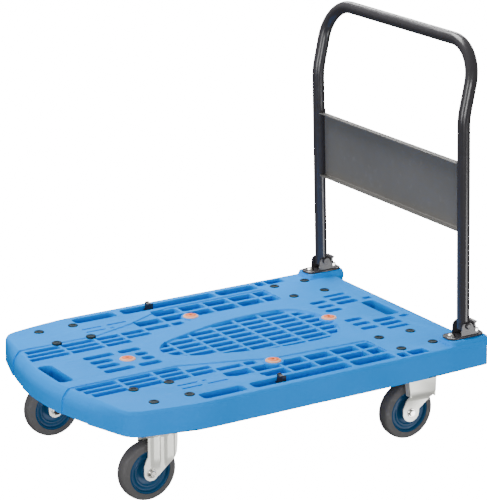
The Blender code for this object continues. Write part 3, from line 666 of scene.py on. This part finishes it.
def leaf_slots():
    """The cells of the leaf grid, cut off by its outline."""
    inner_leaf = [(x * 0.985, y * 0.965) for x, y in leaf_outline()]
    half = LEAF_SLOT_WIDTH / 2
    made = []
    for row in LEAF_ROWS:
        for y in (row, -row):
            for x0, x1 in spans_between_ribs(-0.255, 0.175):
                cell = clipped(rectangle(x0, x1, y - half, y + half), inner_leaf)
                if cell and area_of(cell) > 0.00009:
                    made.append(cell)
    return made


def plain_slots():
    """Slots outside the grids, each with its corner radius."""
    made = []
    half_width = LEAF_SLOT_WIDTH / 2
    for side in (1, -1):
        channels = ((CHANNEL, CHANNEL_SPANS, 0.008), (REAR_CHANNEL, REAR_CHANNEL_SPANS, 0.004))
        for (inner, outer), spans, corner in channels:
            low, high = sorted((inner * side, outer * side))
            made += [(rectangle(x0, x1, low, high), corner) for x0, x1 in spans]
        for y, x0, x1 in FRONT_SLOTS:
            made.append((rectangle(x0, x1, y * side - half_width, y * side + half_width), 0.006))
        for y in REAR_SLOT_ROWS:
            made.append((rectangle(-0.312, -0.270, y * side - 0.008, y * side + 0.008), 0.006))
        for y, half in REAR_SLOT_ROWS_BEHIND:
            made.append((rectangle(-0.377, -0.322, y * side - half, y * side + half), half * 0.75))
        made.append((rectangle(-0.413, -0.391, 0.072 * side - 0.006, 0.072 * side + 0.006), 0.004))
    made.append((rectangle(*FRONT_HAND_SLOT), 0.010))
    made.append((rectangle(*REAR_HAND_SLOT), 0.006))
    return made


def drain_slots():
    """Short narrow slots beside the front of each band."""
    made = []
    for side in (1, -1):
        for x0, x1, y in DRAIN_SLOTS:
            made.append(rectangle(x0, x1, y * side - 0.0028, y * side + 0.0028))
    return made


def taken_places():
    """The boxes in X and Y that slots, casters and studs take up."""
    made = []
    for slot in leaf_slots() + band_slots() + [s for s, _ in plain_slots()]:
        xs = [p[0] for p in slot]
        ys = [p[1] for p in slot]
        made.append((min(xs), max(xs), min(ys), max(ys)))
    for outline in caster_seats():
        (x0, y0), (x1, y1) = outline[0], outline[2]
        made.append((x0, x1, y0, y1))
    for _, x, y in STUDS:
        made.append((x - 0.024, x + 0.024, y - 0.024, y + 0.024))
    return made


def caster_seats():
    """The squares over the four caster plates, with a little room around them."""
    half = CASTER_PLATE / 2 + 0.002
    made = []
    for x in (FRONT_CASTER_X, REAR_CASTER_X):
        for _, side in SIDES:
            y = WHEEL_Y * side
            made.append(rectangle(x - half, x + half, y - half, y + half))
    return made


def underside_pockets():
    """Deep pockets under the plain plate, kept clear of the slots, the studs and the casters."""
    taken = taken_places()
    made = []
    wall = 0.004
    columns = (0.430,) + CROSS_RIBS + (-0.262, -0.330, -0.425)
    for front, rear in zip(columns, columns[1:]):
        x0, x1 = rear + RIB_WIDTH / 2, front - RIB_WIDTH / 2
        reach = 0.290 if front < 0.25 else 0.290 - 0.35 * (front - 0.20)
        for i in range(-10, 10):
            y0, y1 = i * 0.028 + 0.003, (i + 1) * 0.028 - 0.003
            clear = max(abs(y0), abs(y1)) < reach
            for a0, a1, b0, b1 in taken:
                along = x0 < a1 + wall and x1 > a0 - wall
                if along and y0 < b1 + wall and y1 > b0 - wall:
                    clear = False
            if clear:
                made.append(rectangle(x0, x1, y0, y1))
    return made


def front_wrap(side):
    """What is cut away so that a band's recess runs over the front edge and down the face."""
    low, high = sorted((BAND_INNER * side, BAND_OUTER * side))
    block = prism(rectangle(0.380, 0.480, low, high), DECK_RIM - 0.01, DECK_TOP + 0.01)
    return combined(block, deck_solid(BAND_DEPTH), "DIFFERENCE")


def leaf_recess():
    """What is cut away over the leaf grid."""
    leaf = softened(leaf_outline())
    rings = [at_height(moved_in(leaf, LEAF_WALL), DECK_TOP - LEAF_DEPTH)]
    rings.append(at_height(moved_in(leaf, LEAF_WALL * 0.25), DECK_TOP - LEAF_DEPTH * 0.35))
    rings.append(at_height(leaf, DECK_TOP))
    rings.append(at_height(leaf, ABOVE_DECK))
    return loft(rings)


def band_recess(side):
    """What is cut away over one side band."""
    rings = [at_height(band_outline(side, 0.0015, BAND_NOSE + 0.0005), DECK_TOP - BAND_DEPTH)]
    rings.append(at_height(band_outline(side, 0.0, BAND_NOSE), DECK_TOP))
    rings.append(at_height(band_outline(side, 0.0, BAND_NOSE), ABOVE_DECK))
    return loft(rings)


def underside_hollow():
    """The space inside the skirt, without the bosses over the casters."""
    outline = moved_in(deck_outline(), SKIRT_WALL)
    hollow = prism([tuple(p) for p in outline], BELOW_DECK, RIB_FOOT)
    bosses = [prism(seat, BELOW_DECK - 0.01, RIB_FOOT + 0.01) for seat in caster_seats()]
    return combined(hollow, joined(bosses), "DIFFERENCE")


def slot_cutters():
    """All slots of the deck, in one mesh."""
    leaf_top = DECK_TOP - LEAF_DEPTH
    band_top = DECK_TOP - BAND_DEPTH
    made = [flared_slot(cell, 0.0015, BELOW_DECK, leaf_top, SLOT_FLARE) for cell in leaf_slots()]
    made += [flared_slot(cell, 0.0022, BELOW_DECK, band_top, SLOT_FLARE) for cell in band_slots()]
    made += [flared_slot(cell, corner, BELOW_DECK, DECK_TOP, SLOT_FLARE) for cell, corner in plain_slots()]
    made += [flared_slot(cell, 0.002, DECK_TOP - 0.004, DECK_TOP, 0.0008) for cell in drain_slots()]
    return joined(made)


def stud_seat(x, y):
    """The closed floor of the deck under a stud."""
    ring = arc((0, 0), STUD_SEAT_RADIUS, 0, 360, 33)[:-1]
    small = moved_in(ring, 0.0012)
    seat = loft([at_height(ring, 0.190), at_height(ring, DECK_TOP - 0.0014),
                 at_height(small, DECK_TOP - 0.0002)])
    seat.transform(Matrix.Translation((x, y, 0)))
    return seat


def bracket_pad(side):
    """The raised pad under a handle bracket."""
    low, high = sorted((side * PAD_Y[0], side * PAD_Y[1]))
    plan = rectangle(*PAD_X, low, high)
    return edged_block(plan, 0.008, DECK_TOP + 0.001, DECK_TOP + PAD_HEIGHT, 0.0022, 0.0030)


def make_deck():
    deck = combined(deck_solid(0.0), leaf_recess(), "DIFFERENCE")
    for _, side in SIDES:
        deck = combined(deck, front_wrap(side), "DIFFERENCE")
        deck = combined(deck, band_recess(side), "DIFFERENCE")
    deck = combined(deck, underside_hollow(), "DIFFERENCE")
    pockets = [prism(p, BELOW_DECK, DECK_TOP - DECK_PLATE) for p in underside_pockets()]
    deck = combined(deck, joined(pockets), "DIFFERENCE")
    deck = combined(deck, slot_cutters(), "DIFFERENCE")
    raised = [stud_seat(x, y) for _, x, y in STUDS] + [bracket_pad(side) for _, side in SIDES]
    deck = combined(deck, joined(raised), "UNION")
    piece("deck_moulding", deck, DECK_PLASTIC, "root", "deck", sharp=28.0)


def make_studs():
    """Round rubber studs: an orange crown in a paler ring, with a small hole in the middle whose floor is a
    black disc of painted shade.
    """
    crown = [(0.0, -0.006), (0.0118, -0.006), (0.0118, 0.0026), (0.0108, 0.0036), (0.0085, 0.0041)]
    crown += [(0.0045, 0.0042), (0.0034, 0.0038), (0.0028, 0.0020), (0.0, 0.0020)]
    ring = [(0.0118, -0.004), (0.0170, -0.004), (0.0170, 0.0006), (0.0162, 0.0016), (0.0118, 0.0028)]
    hole_shade = [(0.0, 0.0018), (0.0029, 0.0018), (0.0029, 0.0023), (0.0, 0.0023)]
    for name, x, y in STUDS:
        at = Matrix.Translation((x, y, DECK_TOP))
        made = piece(f"stud_crown_{name}", turned(crown), STUD_RUBBER, "root", f"anti_slip_stud_{name}",
                     matrix=at)
        made = piece(f"stud_ring_{name}", turned(ring), STUD_RING_RUBBER, "root", matrix=at)
        # The black disc at the hole's floor is painted shade, standing in for the dark depth of the hole.
        made = piece(f"stud_hole_shade_{name}", turned(hole_shade), BLACK_PLASTIC_AND_HOLE_SHADE, "root", matrix=at)


def make_clips():
    """Small black cradles over the edge channels."""
    cradle_z = PIVOT_Z - (CLIP_X - HANDLE_X) * math.tan(LOWER_LEAN)
    saddle_radius = TUBE_RADIUS + 0.0008
    for name, side in SIDES:
        half = [(0.0150, -0.012), (0.0150, -0.007), (0.0105, -0.006), (0.0110, 0.0095), (0.0102, 0.0105)]
        outline = half + [(-a, b) for a, b in reversed(half)]
        mesh = prism(anticlockwise(outline), -0.0045, 0.0045)
        mesh.transform(Matrix.Translation((CLIP_X, side * HANDLE_HALF_WIDTH, DECK_TOP)) @ CROSSWISE)
        saddle = turned([(0.0, -0.02), (saddle_radius, -0.02), (saddle_radius, 0.02), (0.0, 0.02)])
        place = Matrix.Translation((CLIP_X, side * HANDLE_HALF_WIDTH, cradle_z))
        saddle.transform(place @ Matrix.Rotation(math.pi / 2, 4, "Y"))
        mesh = combined(mesh, saddle, "DIFFERENCE")
        piece(f"clip_{name}", mesh, BLACK_PLASTIC_AND_HOLE_SHADE, "root", f"tube_clip_{name}")


def make_caster_bolts():
    """Flat dark bolt heads in the deck, with nuts under the caster plates."""
    foot = CASTER_PLATE_TOP - CASTER_SHEET - 0.010 - DECK_TOP
    head = [(0.0, -0.003), (0.0110, -0.003), (0.0110, 0.0006), (0.0098, 0.0018), (0.0060, 0.0022)]
    head += [(0.0052, 0.0022), (0.0044, 0.0010), (0.0, 0.0010)]
    shank = [(0.0, foot), (0.0039, foot), (0.0039, -0.003), (0.0, -0.003)]
    nut_top = CASTER_PLATE_TOP - CASTER_SHEET - DECK_TOP
    nut = [(0.0, nut_top - 0.006), (0.0065, nut_top - 0.006), (0.0072, nut_top - 0.005), (0.0072, nut_top)]
    nut += [(0.0, nut_top)]
    half = BOLT_SPACING / 2
    for end, caster_x in (("front", FRONT_CASTER_X), ("rear", REAR_CASTER_X)):
        for side_name, side in SIDES:
            corners = ((half, half), (half, -half), (-half, -half), (-half, half))
            for number, (dx, dy) in enumerate(corners, 1):
                name = f"{end}_{side_name}_{number}"
                at = Matrix.Translation((caster_x + dx, WHEEL_Y * side + dy, DECK_TOP))
                mesh = joined([turned(head, 40), turned(shank, 16)])
                made = piece(f"bolt_head_{name}", mesh, BOLT_PAINT, "root", f"caster_bolt_{name}", matrix=at)
                piece(f"bolt_nut_{name}", turned(nut, 6), ZINC, "root", matrix=at)


# ---- handle

def handle_path():
    """The centreline of the bent tube, from the left foot over the top to the right foot."""
    low = Vector((math.sin(LOWER_LEAN), 0, math.cos(LOWER_LEAN)))
    high = Vector((math.sin(UPPER_LEAN), 0, math.cos(UPPER_LEAN)))
    pivot = Vector((HANDLE_X, HANDLE_HALF_WIDTH, PIVOT_Z))
    kink = pivot + low * ((KINK_Z - PIVOT_Z) / low.z)
    top = kink + high * ((HANDLE_TOP_Z - KINK_Z) / high.z)
    trim = KINK_RADIUS * math.tan((LOWER_LEAN - UPPER_LEAN) / 2) * 2
    half = [pivot - low * TUBE_BELOW_PIVOT]
    half += [pivot + low * (t * 0.35) for t in (0.1, 0.5, 1.0)]
    for i in range(9):
        t = i / 8
        before = (kink - low * trim) * (1 - t) ** 2
        after = (kink + high * trim) * t * t
        half.append(before + kink * 2 * t * (1 - t) + after)
    centre = top - high * CORNER_RADIUS - Vector((0, CORNER_RADIUS, 0))
    for i in range(17):
        angle = math.radians(90 * i / 16)
        across = Vector((0, math.cos(angle), 0)) * CORNER_RADIUS
        half.append(centre + across + high * CORNER_RADIUS * math.sin(angle))
    return half + [Vector((p.x, -p.y, p.z)) for p in reversed(half)]


def swept(path, radius, steps=40):
    """A round bar along a path."""
    tangents = []
    for i in range(len(path)):
        a, b = path[max(i - 1, 0)], path[min(i + 1, len(path) - 1)]
        tangents.append((b - a).normalized())
    across = Vector((1, 0, 0))
    rings = []
    for place, tangent in zip(path, tangents):
        across = (across - tangent * across.dot(tangent)).normalized()
        other = tangent.cross(across)
        ring = []
        for k in range(steps):
            angle = math.tau * k / steps
            ring.append(place + (across * math.cos(angle) + other * math.sin(angle)) * radius)
        rings.append(ring)
    return loft(rings)


def handle_frame():
    """From the handle's own place, with +Z up its tube from the pivot, to the world."""
    return Matrix.Translation((HANDLE_X, 0, PIVOT_Z)) @ Matrix.Rotation(LOWER_LEAN, 4, "Y")


def panel_section(low, high):
    """The crossplate's section: a sheet with a flange bent forward along its lower and upper edge."""
    depth = PANEL_DEPTH / 2
    centre = -depth + PANEL_BEND
    inside = PANEL_BEND - PANEL_SHEET
    outer = [(depth, low)] + arc((centre, low + PANEL_BEND), PANEL_BEND, 270, 180, 7)
    outer += arc((centre, high - PANEL_BEND), PANEL_BEND, 180, 90, 7) + [(depth, high)]
    inner = [(depth, high - PANEL_SHEET)] + arc((centre, high - PANEL_BEND), inside, 90, 180, 7)
    inner += arc((centre, low + PANEL_BEND), inside, 180, 270, 7) + [(depth, low + PANEL_SHEET)]
    return anticlockwise(outer + inner)


def make_tube():
    tube = swept(handle_path(), TUBE_RADIUS)
    made = piece("tube", tube, DARK_PAINT, "handle",
                 "handle_tube", "tube_end_plug_left", "tube_end_plug_right")


def make_panel():
    """The crossplate, with a weld bead at each of its corners."""
    low = (PANEL_LOW - PIVOT_Z) / math.cos(LOWER_LEAN)
    high = (PANEL_HIGH - PIVOT_Z) / math.cos(LOWER_LEAN)
    half_width = HANDLE_HALF_WIDTH - TUBE_RADIUS * 0.96
    mesh = standing(prism(panel_section(low, high), -half_width, half_width))
    made = piece("panel", mesh, PANEL_PAINT, "handle", "handle_panel", matrix=handle_frame())
    bead_x = -PANEL_DEPTH / 2 + 0.001
    for name, side in SIDES:
        bead_y = side * (half_width + 0.0005)
        for where, z in (("low", low + 0.004), ("high", high - 0.004)):
            path = [Vector((bead_x, bead_y, z - 0.012 + 0.004 * k)) for k in range(7)]
            bead = swept(path, 0.0022, 12)
            made = piece(f"weld_{where}_{name}", bead, DARK_PAINT, "handle", matrix=handle_frame())


def cheek_outline():
    """The side wall of a bracket in X and Z, about the pivot axis."""
    foot = DECK_TOP + PAD_HEIGHT + BRACKET_SHEET / 2 - PIVOT_Z
    made = [(-0.029, foot), (0.0165, foot), (0.0155, -0.004)]
    made += arc((0.0055, -0.004), 0.0100, 0, 90, 9)[1:]
    made += [(-0.0080, 0.006), (-0.0125, 0.002), (-0.0155, -0.0060), (-0.0270, -0.007), (-0.029, -0.0090)]
    return [(HANDLE_X + x, PIVOT_Z + z) for x, z in made]


def dome_bolt():
    """A dome head with a washer edge."""
    neck = [(0.0, -0.004), (0.0040, -0.004), (0.0040, 0.0)]
    washer = [(0.0094, 0.0), (0.0094, 0.0010), (0.0088, 0.0018)]
    dome = [(0.0078, 0.0031), (0.0060, 0.0044), (0.0040, 0.0051), (0.0020, 0.0054), (0.0, 0.0055)]
    return neck + washer + dome


def make_brackets():
    """Each bracket's base plate with its two cheeks, and the dome bolts in it."""
    base = DECK_TOP + PAD_HEIGHT + 0.0003
    half = BRACKET_LENGTH / 2
    for name, side in SIDES:
        y = side * HANDLE_HALF_WIDTH
        plan = rectangle(HANDLE_X - half, HANDLE_X + half, y - BRACKET_WIDTH / 2, y + BRACKET_WIDTH / 2)
        mesh = edged_block(plan, 0.014, base, base + BRACKET_SHEET, 0.0012)
        for across in (1, -1):
            inner = y + across * CHEEK_GAP / 2
            outer = y + across * (CHEEK_GAP / 2 + CHEEK_SHEET)
            low, high = sorted((inner, outer))
            cheek = standing(prism(cheek_outline(), -high, -low))
            mesh = combined(mesh, cheek, "UNION")
        made = piece(f"bracket_{name}", mesh, DARK_PAINT, "root", f"handle_bracket_{name}")
        seat = base + BRACKET_SHEET
        for end, dx in (("front", BRACKET_BOLT_X), ("rear", -BRACKET_BOLT_X)):
            at = Matrix.Translation((HANDLE_X + dx, y, seat))
            made = piece(f"dome_{name}_{end}", turned(dome_bolt(), 40), CHROME, "root",
                         f"bracket_bolt_{name}_{end}", matrix=at)


# ---- casters

def tyre_profile():
    """The tyre's section: a soft crown, round shoulders and a slightly sunk side wall."""
    half = [(0.0463, 0.0160), (0.0490, 0.0158), (0.0515, 0.0148), (0.0560, 0.0146), (0.0585, 0.0140)]
    half += [(0.0603, 0.0124), (0.0615, 0.0098), (0.0622, 0.0060), (0.0625, 0.0)]
    return half + [(r, -h) for r, h in reversed(half[:-1])]


def hub_profile():
    """The hub's section: rim lip, sunk ring, raised ring and a boss around the axle."""
    half = [(0.0066, 0.0195), (0.0120, 0.0195), (0.0132, 0.0185), (0.0140, 0.0120), (0.0165, 0.0098)]
    half += [(0.0270, 0.0094), (0.0285, 0.0102), (0.0300, 0.0118), (0.0325, 0.0120), (0.0340, 0.0104)]
    half += [(0.0352, 0.0100), (0.0400, 0.0104), (0.0415, 0.0128), (0.0425, 0.0152), (0.0440, 0.0158)]
    half += [(0.0460, 0.0152)]
    return half + [(r, -h) for r, h in reversed(half)]


def make_wheel(where, side_name, x, y):
    body = f"{where}_wheel_{side_name}"
    at = along_y(x, y, WHEEL_RADIUS)
    tyre = piece(f"tyre_{where}_{side_name}", turned(tyre_profile(), 96), TYRE_RUBBER, body,
                 f"{where}_tyre_{side_name}", matrix=at)
    hub = piece(f"hub_{where}_{side_name}", turned(hub_profile(), 96), HUB_PLASTIC, body,
                f"{where}_hub_{side_name}", matrix=at)


def make_axle(where, side_name, body, x, y):
    """The axle bolt: a head and a washer outside, a hexagon nut inside."""
    reach = FORK_GAP / 2 + FORK_SHEET + 0.0003
    outside = 1 if y > 0 else -1
    at = along_y(x, y, WHEEL_RADIUS)
    if outside < 0:
        at = at @ Matrix.Rotation(math.pi, 4, "X")
    shank = [(0.0, -reach), (0.0060, -reach), (0.0060, reach), (0.0, reach)]
    head = [(0.0, reach), (0.0095, reach), (0.0095, reach + 0.0012), (0.0088, reach + 0.0018)]
    head += [(0.0072, reach + 0.0018), (0.0068, reach + 0.0050), (0.0058, reach + 0.0060)]
    head += [(0.0, reach + 0.0060)]
    nut = [(0.0, -reach - 0.0070), (0.0072, -reach - 0.0070), (0.0092, -reach - 0.0058), (0.0092, -reach)]
    nut += [(0.0, -reach)]
    mesh = joined([turned(shank, 24), turned(head, 36), turned(nut, 6)])
    name = f"{where}_axle_{side_name}"
    made = piece(f"axle_bolt_{where}_{side_name}", mesh, CHROME, body, name, matrix=at)


def thick_sheet(rows, thickness):
    """A closed sheet over a grid of points."""
    height, width = len(rows), len(rows[0])
    points = [p for row in rows for p in row]
    faces = []
    for i in range(height - 1):
        for j in range(width - 1):
            a = i * width + j
            faces.append((a, a + 1, a + width + 1, a + width))
    mesh = mesh_of(points, faces)
    holder = placed("holder", mesh)
    solid = holder.modifiers.new("sheet", "SOLIDIFY")
    solid.thickness = thickness
    solid.offset = 0.0
    solid.use_even_offset = True
    graph = bpy.context.evaluated_depsgraph_get()
    made = bpy.data.meshes.new_from_object(holder.evaluated_get(graph))
    bpy.data.objects.remove(holder)
    bpy.data.meshes.remove(mesh)
    return face_outwards(made)


def leg_section(y, outward):
    """A rigid leg's section across the cart: down from the plate, then a step in to the ear."""
    out = 0.0355
    half = RIGID_SHEET / 2
    near = FORK_GAP / 2 + half
    middle = [(out, 0.1660), (out, 0.1085), (out - 0.0020, 0.1030), (near + 0.0022, 0.0945)]
    middle += [(near, 0.0895), (near, EAR_Z)]
    sides = []
    for shift in (half, -half):
        side = []
        for k, (across, z) in enumerate(middle):
            a = Vector(middle[max(k - 1, 0)])
            b = Vector(middle[min(k + 1, len(middle) - 1)])
            normal = Vector((-(b - a).y, (b - a).x)).normalized()
            side.append((y + outward * (across + normal.x * shift), z + normal.y * shift))
        sides.append(side)
    return anticlockwise(sides[0] + sides[1][::-1])


def crosswise(outline, low_x, high_x):
    """A prism of an outline drawn in Y and Z, between two values of X."""
    mesh = prism(outline, low_x, high_x)
    mesh.transform(CROSSWISE)
    return mesh


def rigid_leg(y, outward):
    """A fixed caster's leg: a channel with flanges that turn in, stepped in to a flat ear."""
    web = crosswise(leg_section(y, outward), REAR_AXLE_X - 0.060, REAR_AXLE_X + 0.030)
    view = [(REAR_AXLE_X - 0.0545, 0.1655), (REAR_AXLE_X - 0.0535, 0.0920), (REAR_AXLE_X - 0.0440, 0.0860)]
    view += [(REAR_AXLE_X - 0.0205, 0.068)] + arc((REAR_AXLE_X, WHEEL_RADIUS), 0.0205, 180, 360, 17)
    view += [(REAR_AXLE_X + 0.0205, 0.0720), (REAR_AXLE_X + 0.0115, 0.0930)]
    view += [(REAR_AXLE_X + 0.0140, 0.1180), (REAR_AXLE_X + 0.0180, 0.1420), (REAR_AXLE_X + 0.0180, 0.1655)]
    leg = combined(web, standing(prism(view, -y - 0.06, -y + 0.06)), "INTERSECT")
    flanges = []
    deep, shallow = sorted((y + outward * 0.0190, y + outward * 0.0362))
    rear = [(-0.0545, 0.1655), (-0.0535, 0.0960), (-0.0510, 0.0960), (-0.0520, 0.1655)]
    front = [(0.0155, 0.1655), (0.0155, 0.1420), (0.0115, 0.1180), (0.0100, 0.1030), (0.0125, 0.1030)]
    front += [(0.0140, 0.1180), (0.0180, 0.1420), (0.0180, 0.1655)]
    for outline in (rear, front):
        outline = [(REAR_AXLE_X + x, z) for x, z in outline]
        flanges.append(standing(prism(outline, -shallow, -deep)))
    return joined([leg] + flanges)


def caster_plate(x, y):
    half = CASTER_PLATE / 2
    plate = rectangle(x - half, x + half, y - half, y + half)
    return edged_block(plate, 0.010, CASTER_PLATE_TOP - CASTER_SHEET, CASTER_PLATE_TOP - 0.0003, 0.0008)


def make_rigid_caster(side_name, side):
    y = side * WHEEL_Y
    mesh = joined([rigid_leg(y, 1), rigid_leg(y, -1), caster_plate(REAR_CASTER_X, y)])
    made = piece(f"rigid_caster_{side_name}", mesh, ZINC, "root", f"rigid_fork_{side_name}")
    make_wheel("rear", side_name, REAR_AXLE_X, y)
    make_axle("rear", side_name, "root", REAR_AXLE_X, y)


def flute(x):
    """How far a swivel leg's face stands out, across its pressed groove."""
    raised = smooth_step(x, 0.272, 0.278) - smooth_step(x, 0.292, 0.297)
    raised += smooth_step(x, 0.305, 0.310) - smooth_step(x, 0.323, 0.329)
    return 0.0022 * raised


def swivel_leg(y, outward):
    """A swivel fork's leg: a grooved sheet, cut to its outline seen from the side."""
    rows = []
    for i in range(41):
        z = EAR_Z + (FORK_CROWN - EAR_Z) * i / 40
        fade = smooth_step(z, 0.066, 0.092)
        row = []
        for j in range(49):
            x = 0.262 + 0.084 * j / 48
            row.append((x, y + outward * (0.0206 + flute(x) * fade), z))
        rows.append(row)
    leg = thick_sheet(rows, SWIVEL_SHEET)
    ear_x = FRONT_AXLE_X
    view = [(0.2660, 0.1395), (0.2662, 0.120), (0.2680, 0.098), (0.2720, 0.088), (ear_x - 0.0165, 0.0545)]
    view += arc((ear_x, WHEEL_RADIUS), 0.0165, 210, 355, 12)
    view += [(ear_x + 0.0160, 0.080), (ear_x + 0.0110, 0.092)]
    view += [(ear_x + 0.0075, 0.098), (ear_x + 0.0070, 0.1395)]
    return combined(leg, standing(prism(view, -y - 0.06, -y + 0.06)), "INTERSECT")


def make_swivel_caster(side_name, side):
    y = side * WHEEL_Y
    x = FRONT_CASTER_X
    body = f"front_swivel_{side_name}"
    plan = rectangle(0.2665, 0.3330, y - 0.0219, y + 0.0219)
    crown = edged_block(plan, 0.003, 0.1365, FORK_CROWN, 0.0015)
    dome = [(0.0, FORK_CROWN - 0.002), (0.0300, FORK_CROWN - 0.002), (0.0300, 0.1440), (0.0270, 0.1475)]
    dome = turned(dome + [(0.0, 0.1475)], 64)
    dome.transform(Matrix.Translation((x, y, 0)))
    mesh = joined([swivel_leg(y, 1), swivel_leg(y, -1), crown, dome])
    made = piece(f"swivel_caster_{side_name}", mesh, ZINC, body, f"swivel_fork_{side_name}")
    cup = [(0.0, 0.1480), (0.0330, 0.1480), (0.0350, 0.1500), (0.0350, 0.1570), (0.0310, 0.1645)]
    cup = turned(cup + [(0.0, 0.1645)], 64)
    cup.transform(Matrix.Translation((x, y, 0)))
    mesh = joined([cup, caster_plate(x, y)])
    made = piece(f"swivel_plate_{side_name}", mesh, ZINC, "root", f"caster_plate_{side_name}")
    make_wheel("front", side_name, FRONT_AXLE_X, y)
    make_axle("front", side_name, body, FRONT_AXLE_X, y)


# ---- CAD pieces that are shown as they are

def finish_shown_nodes():
    """Small CAD pieces keep their shape and get the same surfaces as the rest."""
    surfaces = {
        "pivot_bolt": DARK_PAINT,
        "lock_lever_pin": CHROME,
        "lock_lever": DARK_PAINT,
        "kingpin": ZINC,
    }
    for name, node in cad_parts.items():
        for start, surface in surfaces.items():
            if name.startswith(start):
                node.data.materials.clear()
                node.data.materials.append(surface)
                break


# ---- stage

def make_floor():
    mesh = mesh_of([(-40, -40, 0), (40, -40, 0), (40, 40, 0), (-40, 40, 0)], [(0, 1, 2, 3)])
    floor = placed("floor", mesh)
    mesh.materials.append(floor_surface())
    floor.visible_diffuse = False
    floor.visible_glossy = False
    floor.visible_shadow = False


def area_light(name, place, aim, size, power):
    light = bpy.data.lights.new(name, "AREA")
    light.shape = "RECTANGLE"
    light.size, light.size_y = size
    light.energy = power
    holder = placed(name, light)
    holder.location = place
    direction = Vector(aim) - Vector(place)
    holder.rotation_euler = direction.to_track_quat("-Z", "Y").to_euler()


def make_lights():
    """A white studio, darker below, with soft area lights around the cart."""
    world = bpy.data.worlds.new("studio")
    bpy.context.scene.world = world
    world.use_nodes = True
    tree = world.node_tree
    place = tree.nodes.new("ShaderNodeTexCoord")
    axes = tree.nodes.new("ShaderNodeSeparateXYZ")
    tree.links.new(place.outputs["Generated"], axes.inputs["Vector"])
    height = spread(tree, axes.outputs["Z"], -0.20, 0.20, 0.05, 0.42)
    tree.links.new(height, tree.nodes["Background"].inputs["Strength"])
    tree.nodes["Background"].inputs["Color"].default_value = (1.0, 1.0, 1.0, 1.0)
    area_light("key", (0.1, -1.2, 2.9), (0.0, 0.0, 0.2), (1.8, 1.4), 150)
    area_light("side_fill", (1.7, 3.6, 0.75), (0.0, 0.2, 0.3), (1.6, 1.0), 82)
    area_light("front_fill", (3.0, 0.6, 0.85), (0.0, 0.0, 0.3), (1.5, 1.0), 50)
    area_light("floor_glow", (-1.6, 2.6, -0.65), (0.1, 0.2, 0.2), (1.6, 0.8), 38)
    area_light("bar_strip", (-1.9, -2.5, 2.4), (-0.5, 0.0, 0.8), (2.8, 0.4), 60)


def make_camera():
    data = bpy.data.cameras.new("camera")
    data.lens = CAMERA_LENS
    camera = placed("camera", data)
    camera.location = CAMERA_PLACE
    camera.rotation_euler = (math.pi / 2 - CAMERA_ELEVATION, 0, CAMERA_AZIMUTH)
    bpy.context.scene.camera = camera


make_deck()
make_studs()
make_clips()
make_caster_bolts()
make_tube()
make_panel()
make_brackets()
for caster_side_name, caster_side in SIDES:
    make_rigid_caster(caster_side_name, caster_side)
    make_swivel_caster(caster_side_name, caster_side)
finish_shown_nodes()
make_floor()
make_lights()
make_camera()
